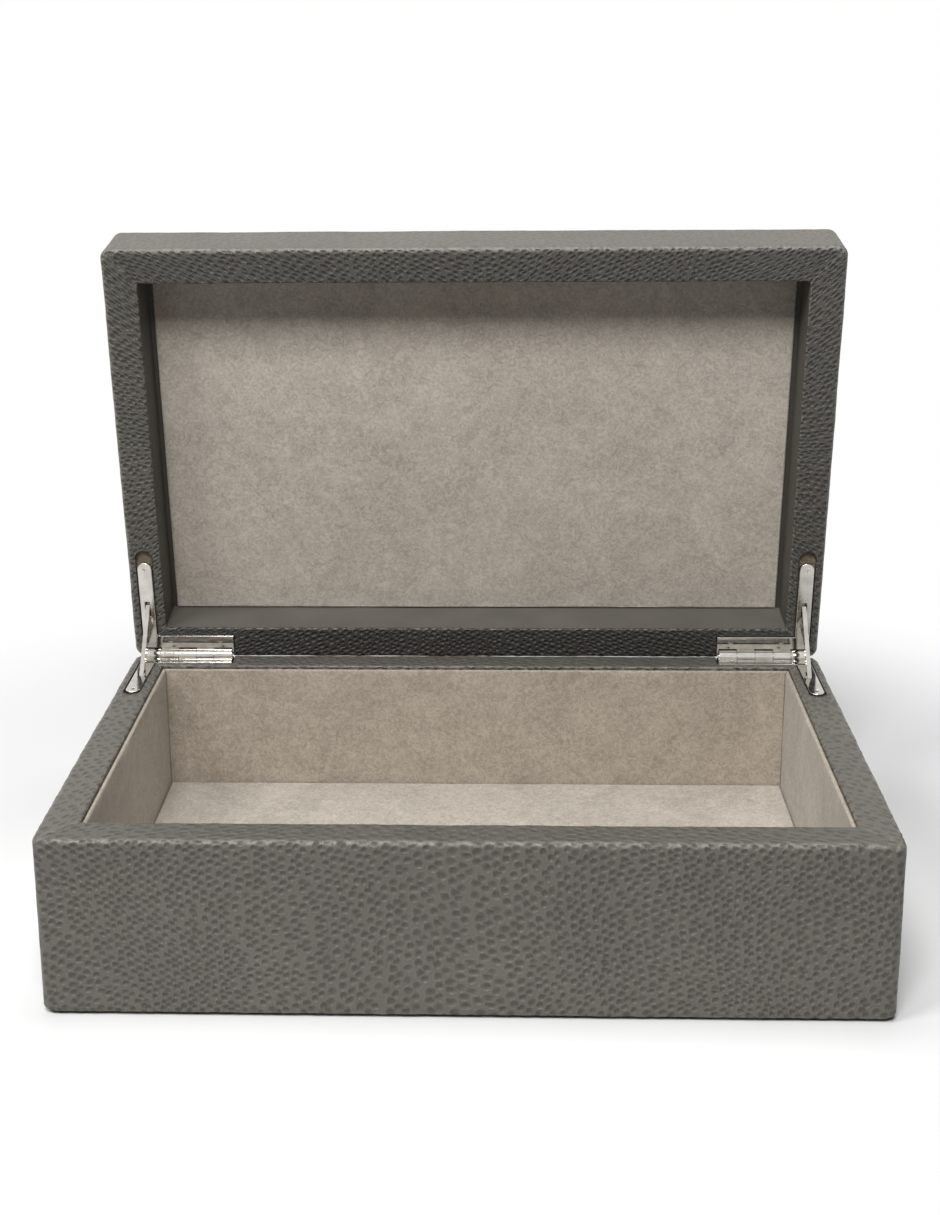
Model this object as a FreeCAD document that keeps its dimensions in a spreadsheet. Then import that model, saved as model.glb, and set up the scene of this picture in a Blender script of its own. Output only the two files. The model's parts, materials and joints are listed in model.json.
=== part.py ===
"""Hinged keepsake box, standing open.

Boards covered in leather make the base and the lid, suede-covered boards line them, and a pair of
quadrant hinges with stays joins them. Millimetres: +X right, +Y back, +Z up, with the origin at the
middle of the underside. Lid pieces are drawn closed and then swung open about the hinge axis.
"""
import FreeCAD, Part
import os
import re
import Sketcher
from FreeCAD import Placement, Rotation, Vector

SIZES = {
    # Outside of the box
    "box_width": 300.0,
    "box_depth": 185.0,
    "base_height": 68.0,
    "lid_height": 29.0,
    "rim_gap": 0.4,
    "open_angle": 82.0,
    # Boards and covering
    "wall_board": 12.0,
    "bottom_board": 11.0,
    "lid_board": 6.0,
    "leather_skin": 1.2,
    "turn_in": 15.0,
    "corner_radius": 3.2,
    "edge_radius": 2.0,
    "nest_room": 0.2,
    "rim_radius": 0.9,
    "underside_sheet": 1.0,
    "underside_inset": 3.0,
    # Lining
    "lining_board": 1.6,
    "lining_drop": 1.4,
    "lining_roll": 0.7,
    "floor_pad": 2.0,
    "floor_gap": 0.4,
    "lid_pad": 1.8,
    "lid_pad_gap": 0.3,
    "lid_pad_roll": 0.8,
    # Hinge leaves
    "leaf_plate": 1.8,
    "leaf_width": 9.2,
    "leaf_edge": 0.35,
    "back_overhang": 1.0,
    "arm_width": 6.3,
    "arm_length": 44.4,
    "base_mortise_length": 47.6,
    "lid_mortise_length": 50.4,
    "mortise_room": 0.4,
    # Barrel
    "barrel_radius": 3.0,
    "barrel_length": 39.0,
    "barrel_room": 0.4,
    "knuckle_gap": 0.2,
    "pin_radius": 1.3,
    "pin_room": 0.05,
    # Stay
    "stay_width": 3.0,
    "stay_plate": 1.8,
    "pivot_reach": 24.0,
    "rivet_radius": 0.8,
    "rivet_head_radius": 1.1,
    "rivet_head": 0.35,
    "rivet_room": 0.05,
    "ear_plate": 1.0,
    "ear_radius": 1.7,
    "ear_room": 0.15,
    "stop_radius": 0.9,
    "stop_length": 4.6,
    "stop_room": 0.3,
    "slot_room": 0.3,
    "slot_end_room": 0.4,
    "pocket_room": 0.6,
    # Screws
    "screw_head_radius": 1.75,
    "screw_head": 1.2,
    "screw_radius": 0.85,
    "screw_length": 9.0,
    "screw_tip": 1.6,
    "screw_room": 0.03,
    "recess_width": 0.5,
    "recess_length": 1.9,
    "recess_depth": 0.6,
    "arm_screw_margin": 3.0,
    "back_screw_margin": 6.0,
    "back_screw_spacing": 22.0,
    # Cutters run past what they cut by this much
    "cut_overrun": 2.0,
}
KNUCKLES = 5
ROUND_END_SHARE = 0.49
SCREW_POINT_SHARE = 0.25

# Lengths and places that several pieces share
WALL = "(wall_board + 2 * leather_skin)"
HALF_X = "(box_width / 2)"
HALF_Y = "(box_depth / 2)"
HALF_TURN = "(open_angle / 2)"
# The hinge axis lies inside the back face, so that the rolled back edges of the open lid and of the
# base nest together with a small clearance and leave no slit between them
ROLL_LIFT = f"((edge_radius + rim_gap / 2) * cos({HALF_TURN}))"
ROLL_SET = f"((edge_radius + nest_room / 2 - {ROLL_LIFT}) / sin({HALF_TURN}))"
AXIS_Y = f"({HALF_Y} - edge_radius + {ROLL_SET})"
AXIS_Z = "(base_height + rim_gap / 2)"
LID_RIM = "(base_height + rim_gap)"
LID_TOP = f"({LID_RIM} + lid_height)"
LID_BOARD_LOW = f"({LID_TOP} - leather_skin - lid_board)"
FLOOR_BOARD_TOP = "(underside_sheet + bottom_board)"
FLOOR_TOP = f"({FLOOR_BOARD_TOP} + floor_pad)"
ARM_X = f"({HALF_X} - {WALL} / 2)"
ARM_OUT = f"({ARM_X} + arm_width / 2)"
BACK_LENGTH = "(barrel_length + back_overhang)"
PIVOT_DEPTH = "(leaf_plate + rivet_head_radius + ear_room)"
PIVOT_LIFT = f"(rim_gap / 2 + {PIVOT_DEPTH})"
PIVOT_OPEN_Y = f"({AXIS_Y} - pivot_reach * cos(open_angle) + {PIVOT_LIFT} * sin(open_angle))"
PIVOT_OPEN_Z = f"({AXIS_Z} + pivot_reach * sin(open_angle) + {PIVOT_LIFT} * cos(open_angle))"
STOP_Z = "(base_height - leaf_plate - stop_room - stop_radius)"
STAY_LENGTH = f"(({PIVOT_OPEN_Z} - {STOP_Z}) / cos({HALF_TURN}))"
SLOT_WIDTH = "(stay_plate + 2 * slot_room)"
SLOT_FRONT = "(pivot_reach + stay_width / 2 + slot_end_room)"
STAY_LEAN = f"({PIVOT_DEPTH} * tan({HALF_TURN}) + stay_width / 2 / cos({HALF_TURN}))"
SLOT_BACK = f"(pivot_reach - {STAY_LEAN} - slot_end_room)"
POCKET_FRONT = f"(pivot_reach + {STAY_LENGTH} ^ 2 / (8 * pivot_reach) + stay_width / 2 + pocket_room)"
POCKET_LOW = f"({LID_RIM} + {PIVOT_DEPTH} - {STAY_LENGTH} - stay_width / 2 - pocket_room)"
EAR_IN = "(stay_plate / 2 + ear_room)"
EAR_OUT = f"({EAR_IN} + ear_plate)"
RIVET_HALF = f"({EAR_OUT} + rivet_head)"
POCKET_HALF = f"({RIVET_HALF} + pocket_room)"

doc = FreeCAD.newDocument("KeepsakeBox")
sheet = doc.addObject("Spreadsheet::Sheet", "Sizes")
for row, (size_name, size) in enumerate(SIZES.items(), start=1):
    sheet.set(f"A{row}", size_name)
    sheet.set(f"B{row}", str(size))
    sheet.setAlias(f"B{row}", size_name)
doc.recompute()

nodes = {}


def formula(text):
    """Point every size name in a formula at its cell."""
    return re.sub(r"[a-z]+(?:_[a-z]+)+", lambda found: "Sizes." + found.group(), text)


def value(text):
    """The present value of a formula."""
    return float(sheet.evalExpression(formula(text)))


def bind(thing, name, text):
    thing.setExpression(name, formula(text))


def keep(name, thing):
    """Name a finished piece; its label names its file."""
    thing.Label = name
    nodes[name] = thing
    return thing


def box(name, x, y, z):
    """A block between two formulas on each axis."""
    block = doc.addObject("Part::Box", name)
    for side, axis, (low, high) in zip(("Length", "Width", "Height"), "xyz", (x, y, z)):
        bind(block, side, f"({high}) - ({low})")
        bind(block, f"Placement.Base.{axis}", low)
    return block


def centred_box(name, half_x, half_y, z):
    return box(name, (f"-({half_x})", half_x), (f"-({half_y})", half_y), z)


def rod(name, radius, x, y, z):
    """A round bar along X between two formulas."""
    bar = doc.addObject("Part::Cylinder", name)
    bar.Placement = Placement(Vector(), Rotation(Vector(0, 1, 0), 90))
    bind(bar, "Radius", radius)
    bind(bar, "Height", f"({x[1]}) - ({x[0]})")
    for axis, text in zip("xyz", (x[0], y, z)):
        bind(bar, f"Placement.Base.{axis}", text)
    return bar


def spindle(name, low_radius, high_radius, x, y, z):
    """A round or tapered bar along Z between two formulas."""
    kind = "Part::Cylinder" if low_radius == high_radius else "Part::Cone"
    bar = doc.addObject(kind, name)
    if low_radius == high_radius:
        bind(bar, "Radius", low_radius)
    else:
        bind(bar, "Radius1", low_radius)
        bind(bar, "Radius2", high_radius)
    bind(bar, "Height", f"({z[1]}) - ({z[0]})")
    for axis, text in zip("xyz", (x, y, z[0])):
        bind(bar, f"Placement.Base.{axis}", text)
    return bar


def fuse(name, pieces):
    joined = doc.addObject("Part::MultiFuse", name)
    joined.Shapes = pieces
    return joined


def group(name, pieces):
    """Like pieces that stay separate solids under one name."""
    together = doc.addObject("Part::Compound", name)
    together.Links = pieces
    return together


def cut(name, piece, cutters):
    """A piece with one or more cutters taken out of it."""
    removed = doc.addObject("Part::Cut", name)
    removed.Base = piece
    removed.Tool = cutters[0] if len(cutters) == 1 else fuse(name + "_cutters", cutters)
    return removed


def mirrored(name, piece, normal, height="0"):
    """A mirror image across a plane through the axis of symmetry or at a height."""
    image = doc.addObject("Part::Mirroring", name)
    image.Source = piece
    image.Normal = normal
    bind(image, "Base.z", height)
    return image


def swing_open(thing):
    """Turn a lid piece, drawn closed, about the hinge axis to where the lid stands open."""
    thing.Placement = Placement(Vector(), Rotation(Vector(1, 0, 0), -value("open_angle")))
    bind(thing, "Placement.Rotation.Angle", "-open_angle")
    bind(thing, "Placement.Base.y", f"{AXIS_Y} * (1 - cos(open_angle)) - {AXIS_Z} * sin(open_angle)")
    bind(thing, "Placement.Base.z", f"{AXIS_Z} * (1 - cos(open_angle)) + {AXIS_Y} * sin(open_angle)")
    return thing


def edge_names(shape, wanted):
    """Names of the edges whose middle point and direction pass a test."""
    names = []
    for number, edge in enumerate(shape.Edges, start=1):
        ends = [vertex.Point for vertex in edge.Vertexes]
        if len(ends) == 2 and wanted((ends[0] + ends[1]) / 2, ends[1] - ends[0]):
            names.append(f"Edge{number}")
    return names


def is_upright(run):
    return abs(run.z) > abs(run.x) + abs(run.y)


def upright_edge(middle, run):
    return is_upright(run)


def level_edge(middle, run):
    return not is_upright(run)


def rounded(name, piece, radius, wanted):
    """A copy of a block with chosen edges rounded."""
    doc.recompute()
    fillet = doc.addObject("Part::Fillet", name)
    fillet.Base = piece
    size = value(radius)
    numbers = [int(edge[len("Edge"):]) for edge in edge_names(piece.Shape, wanted)]
    fillet.Edges = [(number, size, size) for number in numbers]
    return fillet


def prism(name, corners, z):
    """A flat piece: an outline of corners, given as formulas, raised between two heights."""
    body = doc.addObject("PartDesign::Body", name)
    sketch = body.newObject("Sketcher::SketchObject", name + "_outline")
    plane = next(part for part in body.Origin.OriginFeatures if part.Role == "XY_Plane")
    sketch.AttachmentSupport = [(plane, "")]
    sketch.MapMode = "FlatFace"
    bind(sketch, "AttachmentOffset.Base.z", z[0])
    points = [Vector(value(x), value(y), 0) for x, y in corners]
    count = len(points)
    for number in range(count):
        sketch.addGeometry(Part.LineSegment(points[number], points[(number + 1) % count]))
    for number in range(count):
        sketch.addConstraint(Sketcher.Constraint("Coincident", number, 2, (number + 1) % count, 1))
    for number, corner in enumerate(corners):
        for kind, text in zip(("DistanceX", "DistanceY"), corner):
            rule = Sketcher.Constraint(kind, -1, 1, number, 1, value(text))
            index = sketch.addConstraint(rule)
            sketch.setExpression(f"Constraints[{index}]", formula(text))
    pad = body.newObject("PartDesign::Pad", name + "_pad")
    pad.Profile = sketch
    bind(pad, "Length", f"({z[1]}) - ({z[0]})")
    doc.recompute()
    return body


def soften(body, name, radius, wanted):
    """Round chosen edges of a flat piece."""
    before = body.Tip
    fillet = body.newObject("PartDesign::Fillet", name)
    fillet.Base = (before, edge_names(before.Shape, wanted))
    bind(fillet, "Radius", radius)
    body.Tip = fillet
    doc.recompute()
    return body


def frame_strips(prefix, inset, depth, z):
    """Four mitred strips round the inside of the walls: front, back, left and right."""
    out_x = f"({HALF_X} - {inset})"
    out_y = f"({HALF_Y} - {inset})"
    in_x = f"({out_x} - {depth})"
    in_y = f"({out_y} - {depth})"
    long_run = ((f"-{out_x}", out_y), (f"-{in_x}", in_y), (in_x, in_y), (out_x, out_y))
    short_run = ((out_x, out_y), (in_x, in_y), (in_x, f"-{in_y}"), (out_x, f"-{out_y}"))
    outlines = {
        "front": [(x, f"-{y}") for x, y in long_run],
        "back": list(long_run),
        "left": [(f"-{x}", y) for x, y in short_run],
        "right": list(short_run),
    }
    return {side: prism(f"{prefix}_{side}", corners, z) for side, corners in outlines.items()}


# Mortises for a hinge, cut in the base and, as a mirror image, in the lid
def leaf_outline(room, reach, back_edge):
    """Corners of the L-shaped leaf, let out by a clearance."""
    out_x = f"({ARM_OUT} + {room})"
    in_x = f"({ARM_OUT} - arm_width - {room})"
    end_x = f"({ARM_OUT} - {BACK_LENGTH} - {room})"
    front_y = f"({AXIS_Y} - leaf_width - {room})"
    arm_y = f"({AXIS_Y} - {reach})"
    return [
        (out_x, back_edge),
        (end_x, back_edge),
        (end_x, front_y),
        (in_x, front_y),
        (in_x, arm_y),
        (out_x, arm_y),
    ]


def at_arm_end(middle, run):
    return is_upright(run) and middle.y < value(f"{AXIS_Y} - leaf_width * 2")


def mortise_plate(name, reach):
    """The L-shaped recess of a leaf, open at the back, with a round end to its arm."""
    outline = leaf_outline("mortise_room", reach, f"{HALF_Y} + cut_overrun")
    plate = prism(name, outline, ("base_height - leaf_plate", "base_height + cut_overrun"))
    return soften(plate, f"{name}_end", f"(arm_width + 2 * mortise_room) * {ROUND_END_SHARE}", at_arm_end)


barrel_groove = rod(
    "barrel_groove",
    "barrel_radius + barrel_room",
    (f"{ARM_OUT} - barrel_length - mortise_room", f"{ARM_OUT} + mortise_room"),
    AXIS_Y,
    AXIS_Z,
)

# Screws stand in both arms of every leaf; the same places give the holes
ARM_SCREW = (ARM_X, f"{AXIS_Y} - arm_length + arm_screw_margin")
BACK_SCREW_Y = f"{AXIS_Y} - (leaf_width + barrel_radius + barrel_room) / 2"
BACK_SCREW_X = f"{ARM_OUT} - {BACK_LENGTH} + back_screw_margin"
SCREW_PLACES = [
    ARM_SCREW,
    (BACK_SCREW_X, BACK_SCREW_Y),
    (f"{BACK_SCREW_X} + back_screw_spacing", BACK_SCREW_Y),
]


def screw(name, place, room="0"):
    """A countersunk screw, or with a clearance the hole that it sits in."""
    x, y = place
    top = "base_height"
    neck = f"{top} - screw_head"
    tip = f"{top} - screw_length"
    shoulder = f"{tip} + screw_tip"
    shank = f"screw_radius + {room}"
    head = f"screw_head_radius + {room}"
    point = f"screw_radius * {SCREW_POINT_SHARE} + {room}"
    parts = [
        spindle(name + "_head", shank, head, x, y, (neck, top)),
        spindle(name + "_shank", shank, shank, x, y, (shoulder, neck)),
        spindle(name + "_tip", point, shank, x, y, (tip, shoulder)),
    ]
    return fuse(name, parts)


def cross_recess(name, place):
    """The driver's cross in a screw head."""
    x, y = place
    floor = ("base_height - recess_depth", "base_height + cut_overrun")
    sides = ("recess_length", "recess_width")
    arms = []
    for letter, (wide, deep) in zip("ab", (sides, sides[::-1])):
        across = (f"{x} - {wide} / 2", f"{x} + {wide} / 2")
        along = (f"{y} - {deep} / 2", f"{y} + {deep} / 2")
        arms.append(box(name + letter, across, along, floor))
    return fuse(name, arms)


right_screws = []
right_holes = []
for number, place in enumerate(SCREW_PLACES, start=1):
    plain = screw(f"plain_screw_{number}", place)
    right_screws.append(cut(f"screw_{number}", plain, [cross_recess(f"recess_{number}", place)]))
    right_holes.append(screw(f"screw_hole_{number}", place, "screw_room"))
screw_holes = fuse("screw_holes", right_holes)

base_plate = mortise_plate("base_mortise_plate", "base_mortise_length")
base_mortise = fuse("base_mortise", [base_plate, barrel_groove, screw_holes])
base_mortise_left = mirrored("base_mortise_left", base_mortise, Vector(1, 0, 0))
lid_plate = mortise_plate("lid_mortise_plate", "lid_mortise_length")
lid_mortise_closed = fuse("lid_mortise_closed", [lid_plate, barrel_groove, screw_holes])
lid_mortise = mirrored("lid_mortise", lid_mortise_closed, Vector(0, 0, 1), AXIS_Z)
lid_mortise_left = mirrored("lid_mortise_left", lid_mortise, Vector(1, 0, 0))

pocket_x = (f"{ARM_X} - {POCKET_HALF}", f"{ARM_X} + {POCKET_HALF}")
base_pocket = box(
    "base_pocket",
    pocket_x,
    (f"{AXIS_Y} - {POCKET_FRONT}", f"{AXIS_Y} - {SLOT_BACK}"),
    (POCKET_LOW, "base_height"),
)
base_pocket_left = mirrored("base_pocket_left", base_pocket, Vector(1, 0, 0))
lid_pocket = box(
    "lid_pocket",
    pocket_x,
    (f"{AXIS_Y} - {SLOT_FRONT} - pocket_room", f"{AXIS_Y} - {SLOT_BACK}"),
    (LID_RIM, f"{LID_RIM} + {PIVOT_DEPTH} + ear_radius + pocket_room"),
)
lid_pocket_left = mirrored("lid_pocket_left", lid_pocket, Vector(1, 0, 0))

# Base boards: the front and back run full width, the sides stand between them
CORE_X = f"({HALF_X} - leather_skin)"
CORE_Y = f"({HALF_Y} - leather_skin)"
BOARD_IN_X = f"({CORE_X} - wall_board)"
BOARD_IN_Y = f"({CORE_Y} - wall_board)"
CORE_RADIUS = "corner_radius - leather_skin"
across_core = (f"-{CORE_X}", CORE_X)
between_boards = (f"-{BOARD_IN_Y}", BOARD_IN_Y)


def long_boards(prefix, z):
    """Front and back boards with their outer corners rounded under the leather."""
    front = box(f"{prefix}_front_block", across_core, (f"-{CORE_Y}", f"-{BOARD_IN_Y}"), z)
    back = box(f"{prefix}_back_block", across_core, (BOARD_IN_Y, CORE_Y), z)
    middle_y = value(f"({CORE_Y} + {BOARD_IN_Y}) / 2")

    def outer_corner(middle, run):
        return is_upright(run) and abs(middle.y) > middle_y

    return (
        rounded(f"{prefix}_front", front, CORE_RADIUS, outer_corner),
        rounded(f"{prefix}_back", back, CORE_RADIUS, outer_corner),
    )


def side_boards(prefix, z):
    return (
        box(f"{prefix}_left", (f"-{CORE_X}", f"-{BOARD_IN_X}"), between_boards, z),
        box(f"{prefix}_right", (BOARD_IN_X, CORE_X), between_boards, z),
    )


BASE_RISE = ("underside_sheet + leather_skin", "base_height - leather_skin")
front, back = long_boards("base", BASE_RISE)
left, right = side_boards("base", BASE_RISE)
keep("base_front_board", front)
keep("base_back_board", cut("base_back_cut", back, [base_mortise, base_mortise_left]))
keep("base_left_board", cut("base_left_cut", left, [base_mortise_left, base_pocket_left]))
keep("base_right_board", cut("base_right_cut", right, [base_mortise, base_pocket]))
bottom = centred_box("base_bottom", BOARD_IN_X, BOARD_IN_Y, ("underside_sheet", FLOOR_BOARD_TOP))
keep("base_bottom_board", bottom)


def covered_block(name, z):
    """A block with upright corners and both rims rounded, as stretched leather rounds them."""
    block = centred_box(f"{name}_block", HALF_X, HALF_Y, z)
    corners = rounded(f"{name}_corners", block, "corner_radius", upright_edge)
    return rounded(f"{name}_rims", corners, "edge_radius", level_edge)


def core_block(name, z):
    block = centred_box(f"{name}_core_block", CORE_X, CORE_Y, z)
    return rounded(f"{name}_core", block, CORE_RADIUS, upright_edge)


def opening_edge(height):
    """Tests for the straight edges round the inside of a rim at a height."""
    level = value(height)
    inside_x = value(f"{HALF_X} - {WALL}")
    inside_y = value(f"{HALF_Y} - {WALL}")
    near = value("rim_radius") / 2

    def wanted(middle, run):
        on_side = abs(abs(middle.x) - inside_x) < near and abs(middle.y) < near
        on_front = abs(abs(middle.y) - inside_y) < near and abs(middle.x) < near
        return abs(middle.z - level) < near and run.z == 0 and (on_side or on_front)

    return wanted


# Base leather: under the walls, up the outside, over the rim and turned in down the inside
INSIDE_X = f"({HALF_X} - {WALL})"
INSIDE_Y = f"({HALF_Y} - {WALL})"
THROUGH_BASE = ("underside_sheet - cut_overrun", "base_height + cut_overrun")
base_outside = covered_block("base_leather", ("underside_sheet", "base_height"))
base_core = core_block("base", BASE_RISE)
wall_void = centred_box("base_wall_void", BOARD_IN_X, BOARD_IN_Y, THROUGH_BASE)
base_walls = cut("base_walls", base_core, [wall_void])
below_turn = ("underside_sheet - cut_overrun", "base_height - turn_in")
base_voids = [
    base_walls,
    centred_box("base_inside", INSIDE_X, INSIDE_Y, THROUGH_BASE),
    centred_box("base_below_turn", BOARD_IN_X, BOARD_IN_Y, below_turn),
]
base_skin = cut("base_skin", base_outside, base_voids)
base_rolled = rounded("base_skin_rolled", base_skin, "rim_radius", opening_edge("base_height"))
keep("base_leather_wrap", cut("base_wrap", base_rolled, [base_mortise, base_mortise_left]))

sheet_x = f"({HALF_X} - underside_inset)"
sheet_y = f"({HALF_Y} - underside_inset)"
underside = centred_box("underside_block", sheet_x, sheet_y, ("0", "underside_sheet"))
keep("underside_cover", rounded("underside", underside, "corner_radius", upright_edge))

# Base lining: mitred boards round a floor pad
LINING_RISE = (FLOOR_BOARD_TOP, "base_height - lining_drop")


lining_level = value(LINING_RISE[1])
lining_near = value("lining_roll") / 2


def long_top_edge(middle, run):
    """The top edges that run along a strip, not across it at the mitres."""
    on_top = abs(middle.z - lining_level) < lining_near and abs(run.z) < lining_near
    return on_top and min(abs(run.x), abs(run.y)) < lining_near


for side, strip in frame_strips("lining_strip", WALL, "lining_board", LINING_RISE).items():
    keep(f"lining_{side}", soften(strip, f"lining_roll_{side}", "lining_roll", long_top_edge))
pad_x = f"({INSIDE_X} - lining_board - floor_gap)"
pad_y = f"({INSIDE_Y} - lining_board - floor_gap)"
pad_block = centred_box("floor_block", pad_x, pad_y, (FLOOR_BOARD_TOP, FLOOR_TOP))
floor_level = value(FLOOR_TOP)


def on_floor_face(middle, run):
    return abs(middle.z - floor_level) < lining_near


keep("lining_floor", rounded("floor_pad_rolled", pad_block, "lining_roll", on_floor_face))

# Hinge leaves
THROUGH_LEAVES = ("base_height - leaf_plate - cut_overrun", f"{LID_RIM} + leaf_plate + cut_overrun")


def knuckle_span(number, room):
    """Where one knuckle lies along the barrel, counted from the outer end."""
    pitch = f"barrel_length / {KNUCKLES}"
    high = f"{ARM_OUT} - {pitch} * {number} - {room}"
    low = f"{ARM_OUT} - {pitch} * {number + 1} + {room}"
    return low, high


def leaf(name, z, face, own, extra):
    """An L-shaped leaf with its own knuckles, a bore, a slot for the stay and screw holes."""
    plate = prism(f"{name}_plate", leaf_outline("0", "arm_length", AXIS_Y), z)
    soften(plate, f"{name}_end", f"arm_width * {ROUND_END_SHARE}", at_arm_end)
    level = value(face)
    hinge_line = value(AXIS_Y)
    near = value("leaf_edge") / 2

    def shown_edge(middle, run):
        return abs(middle.z - level) < near and abs(run.z) < near and middle.y < hinge_line - near

    soften(plate, f"{name}_polish", "leaf_edge", shown_edge)
    knuckles = []
    reliefs = []
    for number in range(KNUCKLES):
        if number in own:
            span = knuckle_span(number, "knuckle_gap / 2")
            knuckles.append(rod(f"{name}_knuckle_{number}", "barrel_radius", span, AXIS_Y, AXIS_Z))
        else:
            span = knuckle_span(number, "-knuckle_gap / 2")
            relief = "barrel_radius + barrel_room"
            reliefs.append(rod(f"{name}_relief_{number}", relief, span, AXIS_Y, AXIS_Z))
    relieved = cut(f"{name}_relieved", plate, reliefs)
    solid = fuse(f"{name}_solid", [relieved, *knuckles, *extra])
    barrel = (f"{ARM_OUT} - barrel_length - cut_overrun", f"{ARM_OUT} + cut_overrun")
    bore = rod(f"{name}_bore", "pin_radius + pin_room", barrel, AXIS_Y, AXIS_Z)
    slot = box(
        f"{name}_slot",
        (f"{ARM_X} - {SLOT_WIDTH} / 2", f"{ARM_X} + {SLOT_WIDTH} / 2"),
        (f"{AXIS_Y} - {SLOT_FRONT}", f"{AXIS_Y} - {SLOT_BACK}"),
        THROUGH_LEAVES,
    )
    return solid, [bore, slot]


lower_span = ("base_height - leaf_plate", "base_height")
lower_solid, lower_cutters = leaf("lower", lower_span, "base_height", (0, 2, 4), [])
right_lower = cut("right_lower_cut", lower_solid, [*lower_cutters, screw_holes])
keep("right_lower_leaf", right_lower)
keep("left_lower_leaf", mirrored("left_lower", right_lower, Vector(1, 0, 0)))

# Two ears under the upper leaf carry the rivet that the stay turns on
PIVOT_Y = f"({AXIS_Y} - pivot_reach)"
PIVOT_Z = f"({LID_RIM} + {PIVOT_DEPTH})"
ears = []
for letter, low, high in (("a", EAR_IN, EAR_OUT), ("b", f"-{EAR_OUT}", f"-{EAR_IN}")):
    across = (f"{ARM_X} + {low}", f"{ARM_X} + {high}")
    along = (f"{PIVOT_Y} - ear_radius", f"{PIVOT_Y} + ear_radius")
    root = f"{LID_RIM} + leaf_plate / 2"
    ears.append(box(f"ear_{letter}", across, along, (root, PIVOT_Z)))
    ears.append(rod(f"ear_end_{letter}", "ear_radius", across, PIVOT_Y, PIVOT_Z))
upper_span = (LID_RIM, f"{LID_RIM} + leaf_plate")
upper_solid, upper_cutters = leaf("upper", upper_span, LID_RIM, (1, 3), ears)
ear_bore = rod(
    "ear_bore",
    "rivet_radius + rivet_room / 2",
    (f"{ARM_X} - {EAR_OUT} - cut_overrun", f"{ARM_X} + {EAR_OUT} + cut_overrun"),
    PIVOT_Y,
    PIVOT_Z,
)
upper_holes = mirrored("upper_holes", screw_holes, Vector(0, 0, 1), AXIS_Z)
upper_leaf = cut("upper_leaf", upper_solid, [*upper_cutters, ear_bore, upper_holes])
upper_leaf_left = mirrored("upper_leaf_left", upper_leaf, Vector(1, 0, 0))
keep("right_upper_leaf", swing_open(group("right_upper", [upper_leaf])))
keep("left_upper_leaf", swing_open(group("left_upper", [upper_leaf_left])))

# Hinge pins and screws
right_pin = rod("right_pin", "pin_radius", (f"{ARM_OUT} - barrel_length", ARM_OUT), AXIS_Y, AXIS_Z)
keep("right_hinge_pin", right_pin)
keep("left_hinge_pin", mirrored("left_pin", right_pin, Vector(1, 0, 0)))
left_screws = [mirrored(f"left_{piece.Name}", piece, Vector(1, 0, 0)) for piece in right_screws]
base_screws = group("base_screws", right_screws + left_screws)
keep("lower_screws", base_screws)
screws_up = mirrored("screws_up", base_screws, Vector(0, 0, 1), AXIS_Z)
keep("upper_screws", swing_open(group("lid_screws", [screws_up])))

# Rivets: a shank through both ears with a head on each side
rivet_low = f"{ARM_X} - {RIVET_HALF}"
rivet_high = f"{ARM_X} + {RIVET_HALF}"
rivet_parts = [
    rod("rivet_shank", "rivet_radius", (rivet_low, rivet_high), PIVOT_Y, PIVOT_Z),
    rod("rivet_head_a", "rivet_head_radius", (f"{ARM_X} + {EAR_OUT}", rivet_high), PIVOT_Y, PIVOT_Z),
    rod("rivet_head_b", "rivet_head_radius", (rivet_low, f"{ARM_X} - {EAR_OUT}"), PIVOT_Y, PIVOT_Z),
]
rivet = fuse("rivet", rivet_parts)
rivet_left = mirrored("rivet_left", rivet, Vector(1, 0, 0))
keep("right_stay_rivet", swing_open(group("right_rivet", [rivet])))
keep("left_stay_rivet", swing_open(group("left_rivet", [rivet_left])))

# Stays: drawn hanging from the pivot, then leaned by half the lid's angle
stay_half = (f"{ARM_X} - stay_plate / 2", f"{ARM_X} + stay_plate / 2")
stay_bar = fuse(
    "stay_bar",
    [
        box("stay_strip", stay_half, ("-stay_width / 2", "stay_width / 2"), (f"-{STAY_LENGTH}", "0")),
        rod("stay_eye", "stay_width / 2", stay_half, "0", "0"),
        rod("stay_foot", "stay_width / 2", stay_half, "0", f"-{STAY_LENGTH}"),
    ],
)
hole_span = (f"{ARM_X} - stay_plate", f"{ARM_X} + stay_plate")
stay_holes = [
    rod("stay_eye_hole", "rivet_radius + rivet_room", hole_span, "0", "0"),
    rod("stay_foot_hole", "stop_radius", hole_span, "0", f"-{STAY_LENGTH}"),
]
stay = cut("stay", stay_bar, stay_holes)
stop_span = (f"{ARM_X} - stop_length / 2", f"{ARM_X} + stop_length / 2")
stop_pin = rod("stop_pin", "stop_radius", stop_span, "0", f"-{STAY_LENGTH}")


def lean(thing):
    """Hang a stay piece from the open lid's pivot, leaning forward by half the opening angle."""
    thing.Placement = Placement(Vector(), Rotation(Vector(1, 0, 0), -value(HALF_TURN)))
    bind(thing, "Placement.Rotation.Angle", f"-{HALF_TURN}")
    bind(thing, "Placement.Base.y", PIVOT_OPEN_Y)
    bind(thing, "Placement.Base.z", PIVOT_OPEN_Z)
    return thing


for piece, label in ((stay, "stay"), (stop_pin, "stop_pin")):
    keep(f"right_{label}", lean(group(f"right_{label}_hung", [piece])))
    image = mirrored(f"left_{label}_image", piece, Vector(1, 0, 0))
    keep(f"left_{label}", lean(group(f"left_{label}_hung", [image])))

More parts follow.
